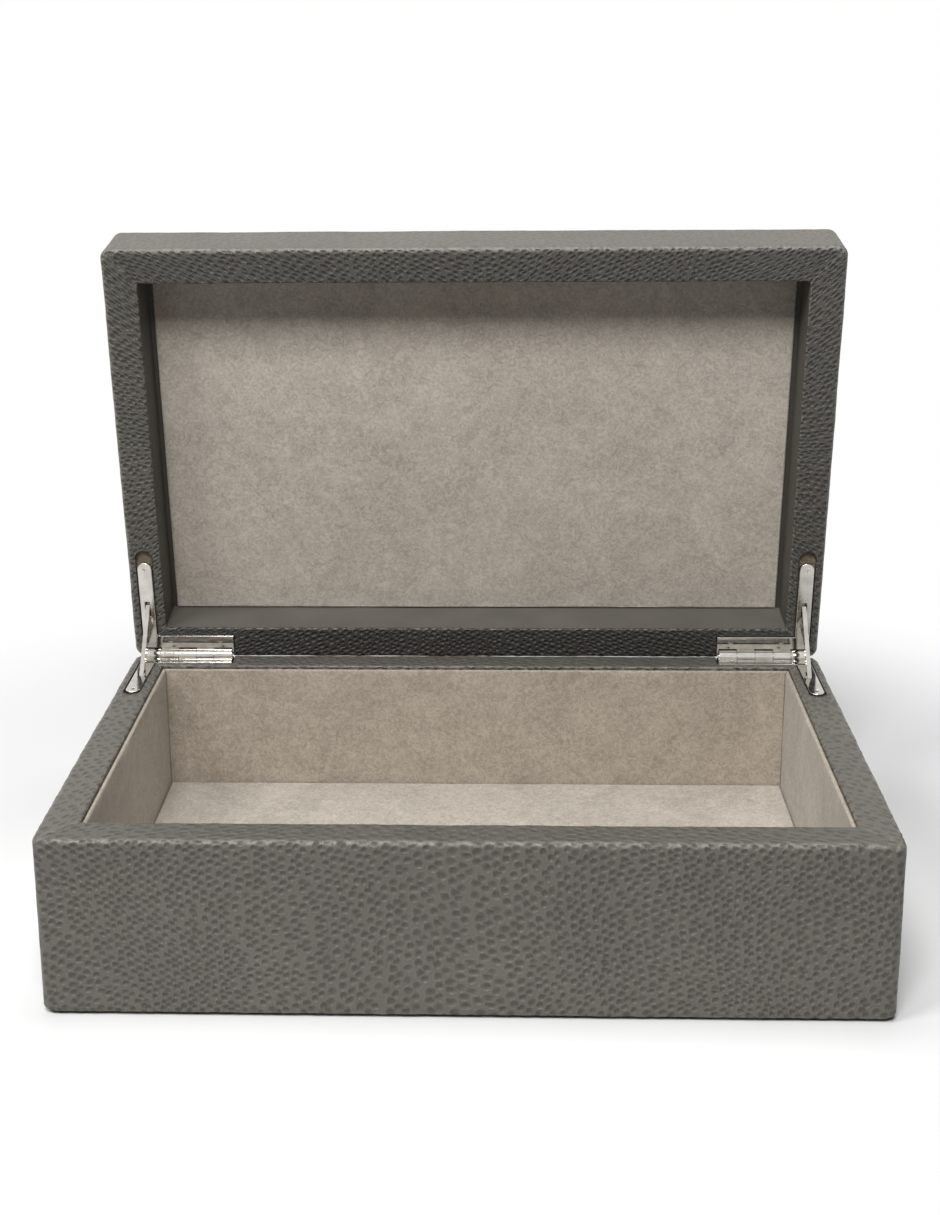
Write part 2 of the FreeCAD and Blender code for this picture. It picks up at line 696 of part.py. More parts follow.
# Lid boards
LID_RISE = (f"{LID_RIM} + leather_skin", LID_BOARD_LOW)
front, back = long_boards("lid", LID_RISE)
left, right = side_boards("lid", LID_RISE)
keep("lid_front_board", swing_open(group("lid_front_open", [front])))
keep("lid_back_board", swing_open(cut("lid_back_cut", back, [lid_mortise, lid_mortise_left])))
keep("lid_left_board", swing_open(cut("lid_left_cut", left, [lid_mortise_left, lid_pocket_left])))
keep("lid_right_board", swing_open(cut("lid_right_cut", right, [lid_mortise, lid_pocket])))
lid_top = core_block("lid_top", (LID_BOARD_LOW, f"{LID_TOP} - leather_skin"))
keep("lid_top_board", swing_open(group("lid_top_open", [lid_top])))

# Lid leather: outside, over the top and over the rim
lid_outside = covered_block("lid_leather", (LID_RIM, LID_TOP))
lid_core = core_block("lid", (f"{LID_RIM} + leather_skin", f"{LID_TOP} - leather_skin"))
rim_opening = (f"{LID_RIM} - cut_overrun", f"{LID_RIM} + leather_skin + cut_overrun")
lid_voids = [lid_core, centred_box("lid_inside", INSIDE_X, INSIDE_Y, rim_opening)]
lid_skin = cut("lid_skin", lid_outside, lid_voids)
lid_rolled = rounded("lid_skin_rolled", lid_skin, "rim_radius", opening_edge(LID_RIM))
keep("lid_leather_wrap", swing_open(cut("lid_wrap", lid_rolled, [lid_mortise, lid_mortise_left])))

# Lid lining: leather facings down the inner walls and a suede panel under the top
FACING_RISE = (f"{LID_RIM} + leather_skin", LID_BOARD_LOW)
FACING_INSET = "(wall_board + leather_skin)"
for side, strip in frame_strips("facing_strip", FACING_INSET, "leather_skin", FACING_RISE).items():
    keep(f"lid_{side}_facing", swing_open(strip))
panel_x = f"({INSIDE_X} - lid_pad_gap)"
panel_y = f"({INSIDE_Y} - lid_pad_gap)"
PANEL_FACE = f"({LID_BOARD_LOW} - lid_pad)"
panel_block = centred_box("lid_panel_block", panel_x, panel_y, (PANEL_FACE, LID_BOARD_LOW))
panel_level = value(PANEL_FACE)
panel_near = value("lid_pad_roll") / 2


def on_panel_face(middle, run):
    return abs(middle.z - panel_level) < panel_near


panel = rounded("lid_panel_rolled", panel_block, "lid_pad_roll", on_panel_face)
keep("lid_lining", swing_open(group("lid_panel_open", [panel])))

doc.recompute()

for thing in doc.Objects:
    if "Invalid" in thing.State or "Error" in thing.State:
        raise RuntimeError(f"{thing.Label} failed: {thing.State}")
for name, thing in nodes.items():
    if thing.Shape.isNull() or not thing.Shape.isValid() or not thing.Shape.Solids:
        raise RuntimeError(f"{name} has no valid solid")

os.makedirs("parts", exist_ok=True)
for name, thing in nodes.items():
    thing.Shape.exportStep(f"parts/{name}.step")
print("pieces", len(nodes))
print("hinge axis", value(AXIS_Y), value(AXIS_Z))
print("stay pivot", value(ARM_X), value(PIVOT_OPEN_Y), value(PIVOT_OPEN_Z))
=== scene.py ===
"""Leather, suede and nickel for a hinged keepsake box that stands open.

Metres, in the frame's own axes: +X right, +Y back, +Z up, with the origin under the middle of the box.
Lid pieces are worked out closed and then swung open about the hinge.
"""

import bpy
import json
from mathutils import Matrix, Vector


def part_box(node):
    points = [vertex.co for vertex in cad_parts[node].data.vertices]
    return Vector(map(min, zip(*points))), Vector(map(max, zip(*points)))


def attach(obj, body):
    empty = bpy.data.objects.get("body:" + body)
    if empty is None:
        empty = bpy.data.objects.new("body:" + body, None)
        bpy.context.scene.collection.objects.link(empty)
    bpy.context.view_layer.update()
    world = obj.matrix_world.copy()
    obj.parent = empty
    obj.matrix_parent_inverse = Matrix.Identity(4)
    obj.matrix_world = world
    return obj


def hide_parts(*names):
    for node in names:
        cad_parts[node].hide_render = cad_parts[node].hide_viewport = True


bl_info = {
    "name": "Keepsake Box",
    "version": (1, 0, 0),
    "blender": (4, 5, 0),
    "location": "View3D > Sidebar > Keepsake",
    "description": "Covers a hinged box in pebbled leather, lines it with suede and sets its stage",
    "category": "Object",
}

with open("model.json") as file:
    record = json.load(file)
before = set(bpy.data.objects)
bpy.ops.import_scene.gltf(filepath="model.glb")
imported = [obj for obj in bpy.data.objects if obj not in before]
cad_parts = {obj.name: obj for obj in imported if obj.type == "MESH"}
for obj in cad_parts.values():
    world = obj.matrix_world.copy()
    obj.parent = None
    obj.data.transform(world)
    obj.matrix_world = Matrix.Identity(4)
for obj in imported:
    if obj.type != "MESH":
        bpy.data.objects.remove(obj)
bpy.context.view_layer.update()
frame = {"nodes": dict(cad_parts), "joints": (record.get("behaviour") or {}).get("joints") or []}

import json
import math

import bmesh
import bpy
import numpy as np
from bpy.props import FloatProperty, FloatVectorProperty, PointerProperty
from mathutils import Matrix, Vector

MM = 0.001
TINY = 1e-6
PHOTO_SIZE = (940, 1215)

# What the frame gives: the hinge, the two covered boxes and the walls
JOINTS = {joint["name"]: joint for joint in frame["joints"]}
HINGE = np.array(JOINTS["lid_hinge"]["pos_m"])
OPEN_TURN = math.radians(max(JOINTS["lid_hinge"]["range_deg"]))


def swing(points, turn):
    """Turn points about the hinge line: (y, z) - hinge is multiplied by a rotation matrix."""
    cos, sin = math.cos(turn), math.sin(turn)
    y, z = points[:, 1] - HINGE[1], points[:, 2] - HINGE[2]
    turned = np.column_stack([points[:, 0], y * cos - z * sin, y * sin + z * cos])
    return turned + [0, HINGE[1], HINGE[2]]


def node_points(node):
    mesh = frame["nodes"][node].data
    points = np.empty(len(mesh.vertices) * 3, np.float32)
    mesh.vertices.foreach_get("co", points)
    return points.reshape(-1, 3).astype(float)


def closed_box(node):
    """Lowest and highest corner of a lid node with the lid shut."""
    points = swing(node_points(node), OPEN_TURN)
    return points.min(axis=0), points.max(axis=0)


BASE_LOW, BASE_HIGH = np.array(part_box("base_leather_wrap"))
LID_LOW, LID_HIGH = closed_box("lid_leather_wrap")
FACING_LOW, FACING_HIGH = closed_box("lid_front_facing")
PANEL_LOW, PANEL_HIGH = closed_box("lid_lining")
LINING_LOW, LINING_HIGH = np.array(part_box("lining_back"))
FLOOR_LOW, FLOOR_HIGH = np.array(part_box("lining_floor"))
LEAF_LOW, LEAF_HIGH = np.array(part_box("right_lower_leaf"))
HALF = BASE_HIGH[:2]
WALL = HALF[1] - LINING_HIGH[1]
SKIN = closed_box("lid_front_board")[0][2] - LID_LOW[2]
SIDES = ("left", "front", "right", "back")


# Properties of the looks
def length(name, description, size):
    """A length, given in millimetres."""
    return FloatProperty(name=name, description=description, unit="LENGTH", default=size * MM)


def swatch(name, description, value):
    return FloatVectorProperty(name=name, description=description, subtype="COLOR", size=4, min=0, max=1,
                               default=(*value, 1))


def factor(name, description, value):
    return FloatProperty(name=name, description=description, subtype="FACTOR", min=0, max=1, default=value)


def power(name, description, value):
    return FloatProperty(name=name, description=description, unit="POWER", min=0, default=value)


class LeatherLook(bpy.types.PropertyGroup):
    """The pebbled leather that covers the base and the lid"""

    body_color: swatch("Body", "Leather between the pits", (0.112, 0.105, 0.088))
    pit_color: swatch("Pits", "Bottom of the pits", (0.077, 0.071, 0.059))
    # Partly real wear and partly a painted highlight along the rolled edges
    worn_and_highlight_color: swatch("Worn edge", "Rubbed leather along the rolled edges", (0.24, 0.228, 0.20))
    pit_pitch: length("Pit pitch", "Mean distance between pits", 3.5)
    stretch: factor("Stretch", "How much larger or smaller pits are in parts of a wall", 0.16)
    tint_color: swatch("Tint", "Warmer leather in broad patches", (0.116, 0.104, 0.090))
    facing_color: swatch(
        "Facing", "Smooth leather along the front and back of the lid", (0.122, 0.114, 0.099))
    # Painted shade: the lid's side facings are drawn darker than its front and back facings
    painted_shade_side_facing_color: swatch(
        "Side facing", "Smooth leather along the sides of the lid", (0.070, 0.063, 0.053))
    pit_depth: length("Pit depth", "How deep the pits are pressed", 0.85)
    corner_radius: length("Corner radius", "Upright corners of the box", 4.2)
    edge_radius: length("Edge roll", "Roll of the outer edges", 2.4)
    rim_radius: length("Rim roll", "Roll of the inner edge of a rim", 0.9)
    turn_in: length("Turn-in", "Leather turned down inside the base", 15)
    ripple: length("Ripple", "Unevenness of the stretched leather", 0.07)
    base_mortise: length("Base mortise", "From the hinge line to the end of the recess", 47.6)
    lid_mortise: length("Lid mortise", "From the hinge line to the end of the recess", 50.4)


class SuedeLook(bpy.types.PropertyGroup):
    """The brushed suede of the lining"""

    color: swatch("Suede", "Nap brushed towards the light", (0.635, 0.58, 0.508))
    shade_color: swatch("Shaded nap", "Nap brushed away from the light", (0.375, 0.336, 0.287))
    # Painted shade: the upright boards and the floor pad are drawn darker than the lid's panel
    wall_painted_shade: swatch("Wall tone", "Nap of the upright boards, which faces away", (0.82, 0.79, 0.75))
    floor_painted_shade: swatch("Floor tone", "Nap of the floor pad, which lies flat", (0.93, 0.93, 0.93))
    nap_size: length("Nap marks", "Length of the finest marks in the nap", 2.7)
    roll: length("Roll", "Roll of the covered board edges", 0.75)
    panel_gap: length("Panel gap", "Gap between the sides of the lid and its panel", 1.9)
    # The ledge is drawn in the darker side-facing leather, a painted shade in the gap beside the panel
    ledge: length("Ledge", "Leather that shows in the gap beside the panel", 0.7)
    crown: length("Crown", "Rise of a pad in its middle", 0.35)


class MetalLook(bpy.types.PropertyGroup):
    """The polished nickel of the hinges"""

    color: swatch("Nickel", "Polished metal", (0.62, 0.595, 0.555))
    smear_color: swatch("Smears", "Metal under faint smears", (0.52, 0.49, 0.45))
    roughness: factor("Roughness", "Blur of the reflections", 0.045)


class BackingLook(bpy.types.PropertyGroup):
    """The raw board and the felt underside"""

    board_color: swatch("Board", "Light fibres of the board", (0.25, 0.205, 0.15))
    board_shade_color: swatch("Board shade", "Dark fibres of the board", (0.11, 0.088, 0.062))
    felt_color: swatch("Felt", "Light fibres of the felt", (0.12, 0.115, 0.105))
    felt_shade_color: swatch("Felt shade", "Dark fibres of the felt", (0.055, 0.052, 0.047))


class StageLook(bpy.types.PropertyGroup):
    """Floor, lamps and camera"""

    floor_color: swatch("Floor", "Pale floor under the box", (0.86, 0.86, 0.86))
    room_color: swatch("Room", "Floor of the room round the pale sheet", (0.12, 0.12, 0.12))
    key_power: power("Key lamp", "Soft lamp in front, well above the camera", 17)
    side_power: power("Side lamp", "Soft lamp on the left", 9)
    top_power: power("Top lamp", "Soft lamp overhead", 8)
    ambient: FloatProperty(name="Ambient", description="Light from the room", min=0, default=0.03)


# Small tools for grids and meshes
SMOOTH_ANGLE = 40
RING_GATHER = 1.7
STRIP_GATHER = 1.6
PAD_GATHER = 2.4


def plane_waves(points, wavelength, seed, count=18):
    """Smooth unevenness of unit size: a sum of sine waves, each with a seeded direction and phase."""
    draw = np.random.default_rng(seed)
    heading = draw.normal(size=(count, 3))
    heading /= np.linalg.norm(heading, axis=1, keepdims=True)
    pitch = wavelength * draw.uniform(0.7, 1.5, count)
    phase = draw.uniform(0, 2 * np.pi, count)
    waves = np.sin(points @ (heading * (2 * np.pi / pitch)[:, None]).T + phase)
    return waves.sum(axis=1) / math.sqrt(count / 2)


def make_object(name, points, faces, material, smooth_angle=SMOOTH_ANGLE):
    """A mesh object from points and faces, smooth but for edges sharper than the angle."""
    mesh = bpy.data.meshes.new(name)
    mesh.from_pydata(points, [], faces)
    mesh.update()
    if mesh.validate():
        raise RuntimeError(f"{name} has faces that don't hold")
    obj = bpy.data.objects.new(name, mesh)
    bpy.context.scene.collection.objects.link(obj)
    mesh.materials.append(material)
    finish_shading(mesh, smooth_angle)
    return obj


def finish_shading(mesh, smooth_angle=SMOOTH_ANGLE):
    mesh.shade_smooth()
    mesh.set_sharp_from_angle(angle=math.radians(smooth_angle))


def gathered(count, gather):
    """Steps from -1 to 1 that lie closest at both ends: tanh(k t) / tanh(k)."""
    return np.tanh(gather * np.linspace(-1, 1, count)) / math.tanh(gather)


def grid_quads(grid):
    """Quads of a grid of point numbers, anticlockwise where its rows go up and its columns to the right."""
    return np.stack([grid[:-1, :-1], grid[:-1, 1:], grid[1:, 1:], grid[1:, :-1]], axis=2).reshape(-1, 4)


def tube_quads(columns, rows, looped, closed):
    """Quads of columns of points. Columns may loop back to the first, and each may close on itself."""
    grid = np.arange(columns * rows).reshape(columns, rows)
    if looped:
        grid = np.vstack([grid, grid[:1]])
    if closed:
        grid = np.hstack([grid, grid[:, :1]])
    return grid_quads(grid)[:, [0, 3, 2, 1]]


def dress(obj, body, slot, *nodes):
    """Let a piece ride on a body and stand for its nodes. The slot is not used."""
    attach(obj, body)
    if nodes:
        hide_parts(*nodes)
    return obj


# Sections: rows of (inset from the outer face, height, wear and painted highlight)
ROW_STEP = 2.6 * MM
RIM_STEP = 1.1 * MM
BACK_STEP = 20 * MM
ROLL_ROWS = 9
RIM_ROLL_ROWS = 7
SUEDE_ROLL_ROWS = 6
# Wear at the foot, the top and the rims, which the leather also draws as a partly painted highlight
FOOT_WEAR = 0.6
TOP_WEAR = 0.7
RIM_WEAR = 0.8


def run(start, end, step=ROW_STEP):
    """A straight stretch from start to end in about equal steps."""
    start, end = np.array(start), np.array(end)
    count = max(2, int(np.linalg.norm(end - start) / step) + 2)
    share = np.linspace(0, 1, count)[:, None]
    return np.hstack([start + (end - start) * share, np.zeros((count, 1))])


def roll(center, radius, first, last, wear=1.0, count=ROLL_ROWS):
    """A quarter roll: center + radius (cos, sin), with wear and painted highlight that peak in its middle as
    sin^3.
    """
    share = np.linspace(0, 1, count)
    angle = np.radians(first + (last - first) * share)
    circle = np.column_stack([np.cos(angle), np.sin(angle)]) * radius + center
    return np.column_stack([circle, wear * np.sin(np.pi * share) ** 3])


def join_rows(*stretches):
    """String stretches together without the points that repeat at their joints."""
    rows = np.vstack(stretches)
    step = np.linalg.norm(np.diff(rows[:, :2], axis=0), axis=1)
    return rows[np.concatenate([[True], step > TINY])]


def arc_lengths(rows):
    step = np.linalg.norm(np.diff(rows[:, :2], axis=0), axis=1)
    return np.concatenate([[0], np.cumsum(step)])


# The path round a covered box: left, front, right and back sides, from mitre to mitre
LONG_COLUMNS = 210
SHORT_COLUMNS = 140
COLUMN_COUNTS = (SHORT_COLUMNS, LONG_COLUMNS, SHORT_COLUMNS, LONG_COLUMNS)


def side_half(side):
    """Half the length of a side and its distance from the middle."""
    return HALF[::-1] if side in ("left", "right") else HALF


def face_side(side, along, out):
    """Put distances along and out of a side into x and y, anticlockwise round the box."""
    turned = {"front": (along, -out), "right": (out, along), "back": (-along, out), "left": (-out, -along)}
    return turned[side]


def side_columns(side, radius, count):
    """Columns of one side, closest at its mitres.

    Past the straight part, s runs round half of a corner arc: a = A - r + r sin, b = B - r + r cos.
    """
    half, out = side_half(side)
    straight = half - radius
    reach = straight + radius * math.pi / 4
    s = reach * gathered(count, RING_GATHER)
    turn = np.clip(np.abs(s) - straight, 0, None) / radius
    along = np.sign(s) * (np.minimum(np.abs(s), straight) + radius * np.sin(turn))
    return s, along, out - radius + radius * np.cos(turn)


def wrap_ring(rows, radius):
    """Carry a section round the box: each row lies at its inset between the outer and inner outline.

    P(d) = outer + (inner - outer) d / wall, with the inner outline a sharp-cornered rectangle. Returns
    points as (column, row), the columns' u, and the first column of each side.
    """
    share = rows[:, 0] / WALL
    rings, lengths, starts = [], [], [0]
    offset = 0.0
    for side, count in zip(SIDES, COLUMN_COUNTS):
        s, along, out = side_columns(side, radius, count)
        half, far = side_half(side)
        inner_along = along * (half - WALL) / along.max()
        inner_out = np.full_like(along, far - WALL)
        a = along[:, None] + (inner_along - along)[:, None] * share
        b = out[:, None] + (inner_out - out)[:, None] * share
        x, y = face_side(side, a, b)
        z = np.broadcast_to(rows[:, 1], x.shape)
        rings.append(np.stack([x, y, z], axis=2)[:-1])
        lengths.append(s + offset + s.max())
        offset += 2 * s.max()
        starts.append(starts[-1] + count - 1)
    return np.vstack(rings), lengths, starts


# Islands of the UV map: the walls from 0 on, the rims from the fourth gap on, then the lid's top and foot
ISLAND_GAP = 0.5
TOP_ISLAND = 9 * ISLAND_GAP
FOOT_ISLAND = 11 * ISLAND_GAP
STRETCH_WAVE = 200 * MM
STRETCH_PLACE = 323 * MM


def ring_uv(rows, lengths, closed, on_rim, rim_scale, stretch):
    """UV of each quad corner: u along the side and v along the section, in metres.

    Waves of stretched leather run round the walls: u - k L sin(w) / 2 pi and v (1 - k cos(w)), with v from
    the middle of the wall and w = 2 pi (u - place) / L. A rim is an island of its own on each side, with its
    pattern scaled along and across the side, by one pair on the short sides and one on the long sides.
    """
    v = arc_lengths(rows)
    v = v - v[rows[:, 0] < TINY].mean()
    if closed:
        v = np.append(v, v[-1] + np.linalg.norm(rows[0, :2] - rows[-1, :2]))
    else:
        on_rim = on_rim[:-1]
    height = np.stack([v[:-1], v[:-1], v[1:], v[1:]], axis=1)
    blocks = []
    for number, s in enumerate(lengths):
        ends = np.stack([s[:-1], s[1:], s[1:], s[:-1]], axis=1)
        u = np.repeat(ends[:, None, :], len(height), axis=1)
        middle = (s[0] + s[-1]) / 2
        wave = 2 * np.pi * (u - STRETCH_PLACE) / STRETCH_WAVE
        wall_u = u - stretch * STRETCH_WAVE / (2 * np.pi) * np.sin(wave)
        wall_v = height * (1 - stretch * np.cos(wave))
        along, across = rim_scale[number % 2]
        rim_u = (u - middle) * along + ISLAND_GAP * (number + len(SIDES))
        rim_v = np.broadcast_to(height * across, u.shape)
        rim = on_rim[None, :, None]
        pair = [np.where(rim, rim_u, wall_u), np.where(rim, rim_v, wall_v)]
        blocks.append(np.stack(pair, axis=3).reshape(-1, 2))
    return np.vstack(blocks)


def outward(points):
    """Unit normals of a ring of columns from the cross product of its two directions."""
    along = np.roll(points, -1, axis=0) - np.roll(points, 1, axis=0)
    up = np.gradient(points, axis=1)
    normal = np.cross(along, up)
    return normal / np.maximum(np.linalg.norm(normal, axis=2, keepdims=True), 1e-12)


# Unevenness of the stretched leather: lengths of its waves, and heights of its pinches and mitre ridges
BROAD_WAVE = 45 * MM
CLOSE_WAVE = 7 * MM
PINCH_WAVE = 3.2 * MM
BROAD_SHARE = 0.8
CLOSE_SHARE = 0.35
PINCH_HEIGHT = 0.10 * MM
CREASE_HEIGHT = 0.16 * MM
CREASE_WIDTH = 0.55 * MM
RIM_ROOM = 0.17 * MM


def mitre_crease(points):
    """exp(-(d / width)^2) at a distance d from the nearest mitre."""
    x, y = np.abs(points[:, :, 0]) - HALF[0], np.abs(points[:, :, 1]) - HALF[1]
    return np.exp(-((x - y) / (math.sqrt(2) * CREASE_WIDTH)) ** 2)


def stretch_leather(points, rows, on_rim, look, seed):
    """Uneven the leather: broad ripples everywhere, pinches along worn rolls and a ridge at each mitre.

    On rims and rolls it stays below the room that is left between the base and the lid.
    """
    broad, close, pinch = (plane_waves(points.reshape(-1, 3), wave, seed + number).reshape(points.shape[:2])
                           for number, wave in enumerate((BROAD_WAVE, CLOSE_WAVE, PINCH_WAVE)))
    wear = rows[:, 2]
    lift = look.ripple * (BROAD_SHARE * broad + CLOSE_SHARE * close) + PINCH_HEIGHT * pinch * wear
    lift = lift + CREASE_HEIGHT * mitre_crease(points) * on_rim
    return np.where(on_rim | (wear > 0), np.minimum(lift, RIM_ROOM), lift)


def leather_attributes(mesh, uv, shares):
    """Store the UV map and the shares that steer the leather: wear and painted highlight, press, and painted
    shade.
    """
    layer = mesh.uv_layers.new(name="UVMap")
    layer.uv.foreach_set("vector", uv.astype(np.float32).ravel())
    for name, values in shares.items():
        attribute = mesh.attributes.new(name, "FLOAT", "POINT")
        attribute.data.foreach_set("value", values.astype(np.float32).ravel())


# Recesses for the hinges, cut through the leather
MORTISE_ROOM = 0.4 * MM
BARREL_ROOM = 0.4 * MM
ARM_WIDTH = 6.3 * MM
LEAF_WIDTH = 9.2 * MM
LEAF_PLATE = 1.8 * MM
CUT_PAST = 4 * MM
TIP_POINTS = 17
BARREL_POINTS = 48


def mortise_cutter(reach, hand):
    """An L-shaped prism: a back arm along the hinge and a side arm that ends in a half circle."""
    out_x = LEAF_HIGH[0] + MORTISE_ROOM
    in_x = LEAF_HIGH[0] - ARM_WIDTH - MORTISE_ROOM
    end_x = LEAF_LOW[0] - MORTISE_ROOM
    back_y = HALF[1] + CUT_PAST
    front_y = HINGE[1] - LEAF_WIDTH - MORTISE_ROOM
    radius = (out_x - in_x) / 2
    angle = np.linspace(0, np.pi, TIP_POINTS)
    tip_x = (out_x + in_x) / 2 + radius * np.cos(angle)
    tip_y = HINGE[1] - reach + radius - radius * np.sin(angle)
    x = np.concatenate([[end_x, end_x, in_x], tip_x[::-1], [out_x]])
    y = np.concatenate([[back_y, front_y, front_y], tip_y[::-1], [back_y]])
    return prism(hand * x, y, BASE_HIGH[2] - LEAF_PLATE, BASE_HIGH[2] + CUT_PAST, hand < 0)


def prism(x, y, low, high, turned):
    """Two copies of an outline, at a low and a high level, with walls between them."""
    count = len(x)
    points = np.vstack([np.column_stack([x, y, np.full(count, level)]) for level in (low, high)])
    i = np.arange(count)
    walls = np.column_stack([i, (i + 1) % count, (i + 1) % count + count, i + count])
    faces = walls.tolist() + [i[::-1].tolist(), (i + count).tolist()]
    if turned:
        faces = [face[::-1] for face in faces]
    return points, faces


def barrel_cutter(hand):
    """A cylinder round the barrel: axis + radius (cos, sin), between two ends."""
    barrel = np.array(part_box("right_hinge_pin"))
    radius = (LEAF_HIGH[2] - HINGE[2]) + BARREL_ROOM
    angle = np.linspace(0, 2 * np.pi, BARREL_POINTS, endpoint=False)
    y = HINGE[1] + radius * np.cos(angle)
    z = HINGE[2] + radius * np.sin(angle)
    low, high = barrel[0][0] - MORTISE_ROOM, barrel[1][0] + MORTISE_ROOM
    points, faces = prism(y, z, low, high, hand < 0)
    return points[:, [2, 0, 1]] * [hand, 1, 1], faces


def drop_slivers(mesh):
    """Drop the slivers that a cut leaves hanging by one edge, and see that the mesh is closed."""
    work = bmesh.new()
    work.from_mesh(mesh)
    hanging = [face for face in work.faces if sum(edge.is_boundary for edge in face.edges) > 1]
    bmesh.ops.delete(work, geom=hanging, context="FACES")
    closed = all(edge.is_manifold for edge in work.edges)
    work.to_mesh(mesh)
    work.free()
    if not closed:
        raise RuntimeError(f"{mesh.name} is not closed after its recesses were cut")


def cut_mortises(obj, reach, on_lid):
    """Cut both hinge recesses out of a covering and drop the cutters."""
    cutters = []
    for hand in (1, -1):
        for points, faces in (mortise_cutter(reach, hand), barrel_cutter(hand)):
            if on_lid:
                points = points * [1, 1, -1] + [0, 0, 2 * HINGE[2]]
                points = swing(points, -OPEN_TURN)
                faces = [face[::-1] for face in faces]
            mesh = bpy.data.meshes.new("mortise_cutter")
            mesh.from_pydata(points, [], faces)
            cutter = bpy.data.objects.new("mortise_cutter", mesh)
            bpy.context.scene.collection.objects.link(cutter)
            modifier = obj.modifiers.new("mortise", "BOOLEAN")
            modifier.operation = "DIFFERENCE"
            modifier.solver = "EXACT"
            modifier.object = cutter
            cutters.append(cutter)
    depsgraph = bpy.context.evaluated_depsgraph_get()
    carved = bpy.data.meshes.new_from_object(obj.evaluated_get(depsgraph))
    obj.modifiers.clear()
    old = obj.data
    obj.data = carved
    carved.name = obj.name
    bpy.data.meshes.remove(old)
    for cutter in cutters:
        mesh = cutter.data
        bpy.data.objects.remove(cutter)
        bpy.data.meshes.remove(mesh)
    if len(carved.materials) > 1:
        raise RuntimeError(f"{obj.name} took on a cutter's material")
    drop_slivers(carved)
    finish_shading(carved)


# Materials
WHITE = (1, 1, 1, 1)


class Finish:
    """The nodes of a material or a world under construction."""

    def __init__(self, owner, output):
        owner.use_nodes = True
        self.nodes = owner.node_tree.nodes
        self.links = owner.node_tree.links
        self.nodes.clear()
        self.output = self.nodes.new(output)

    def wire(self, kind, settings, values):
        """Outputs of a new node, whose sockets get values or other nodes' outputs."""
        node = self.nodes.new(kind)
        for key, value in settings.items():
            setattr(node, key, value)
        for key, value in values.items():
            if isinstance(value, bpy.types.NodeSocket):
                self.links.new(value, node.inputs[key])
            else:
                node.inputs[key].default_value = value
        return node.outputs

    def add(self, kind, settings=None, **sockets):
        """The same with sockets by their names."""
        return self.wire(kind, settings or {}, {key.replace("_", " "): sockets[key] for key in sockets})

    def math(self, operation, *values):
        return self.wire("ShaderNodeMath", {"operation": operation}, dict(enumerate(values)))[0]

    def vector_math(self, operation, *values):
        return self.wire("ShaderNodeVectorMath", {"operation": operation}, dict(enumerate(values)))[0]

    def place(self):
        """Where a point lies on its object."""
        return self.add("ShaderNodeTexCoord")["Object"]

    def axes(self, vector):
        """The x and y of a vector."""
        parts = self.add("ShaderNodeSeparateXYZ", None, Vector=vector)
        return parts["X"], parts["Y"]

    def spread(self, value, low, high, to_low=0.0, to_high=1.0, shape="SMOOTHSTEP"):
        """Map a range of a value onto another range."""
        return self.add("ShaderNodeMapRange", {"interpolation_type": shape}, Value=value, From_Min=low,
                        From_Max=high, To_Min=to_low, To_Max=to_high)["Result"]

    def blend(self, share, first, second, mode="MIX"):
        """Mix two colours."""
        settings = {"data_type": "RGBA", "blend_type": mode}
        return self.wire("ShaderNodeMix", settings, {0: share, 6: first, 7: second})[2]

    def mix(self, share, first, second):
        """Mix two numbers."""
        return self.wire("ShaderNodeMix", {}, {0: share, 2: first, 3: second})[0]

    def noise(self, vector, size, detail=2.0, roughness=0.5, distortion=0.0, kind="Fac"):
        return self.add("ShaderNodeTexNoise", None, Vector=vector, Scale=1 / size, Detail=detail,
                        Roughness=roughness, Distortion=distortion)[kind]

    def sway(self, vector, size, detail, amount):
        """Move a vector about by noise of a size."""
        noise = self.noise(vector, size, detail, 0.55, kind="Color")
        offset = self.add("ShaderNodeVectorMath", {"operation": "SCALE"}, Vector=noise, Scale=amount)
        return self.vector_math("ADD", vector, offset[0])

    def curve(self, value, points):
        """A smooth curve through (place, height) points, as a ramp of greys."""
        node = self.nodes.new("ShaderNodeValToRGB")
        node.color_ramp.interpolation = "EASE"
        elements = node.color_ramp.elements
        while len(elements) < len(points):
            elements.new(1.0)
        for element, (place, height) in zip(elements, points):
            element.position = place
            element.color = (height, height, height, 1)
        self.links.new(value, node.inputs["Fac"])
        return node.outputs["Color"]

    def bump(self, height, depth):
        return self.add("ShaderNodeBump", None, Height=height, Distance=depth, Strength=1.0)["Normal"]

    def seen_directly(self):
        """1 for rays from the camera, from gloss and from glass."""
        rays = self.add("ShaderNodeLightPath")
        seen = self.math("MAXIMUM", rays["Is Camera Ray"], rays["Is Glossy Ray"])
        return self.math("MAXIMUM", seen, rays["Is Transmission Ray"])

    def either(self, share, first, second):
        """Mix two shaders."""
        return self.wire("ShaderNodeMixShader", {}, {0: share, 1: first, 2: second})[0]

    def show(self, shader):
        self.links.new(shader, self.output.inputs["Surface"])

    def surface(self, **sockets):
        self.show(self.add("ShaderNodeBsdfPrincipled", None, **sockets)["BSDF"])


# Height of a pit from its middle outwards, as (distance, height): a bowl, a raised lip and flat skin
PIT_SHAPE = ((0.0, 0.0), (0.26, 0.14), (0.52, 0.56), (0.76, 0.97), (0.87, 1.0), (1.0, 0.86))
PIT_LEVEL = 0.86

# How far seeds stray from their lattice, its turn in degrees, and the range of the pits' radius and weight
PIT_STRAY = 0.5
PIT_TURN = 27
PIT_RADIUS = (0.50, 0.64)
PIT_WEIGHT = (0.72, 1.0)

# How the pattern is moved about: size of the noise, its detail and the distance
PIT_DRIFT = (45 * MM, 0.0, 11 * MM)
PIT_WOBBLE = (4.5 * MM, 3.0, 1.7 * MM)


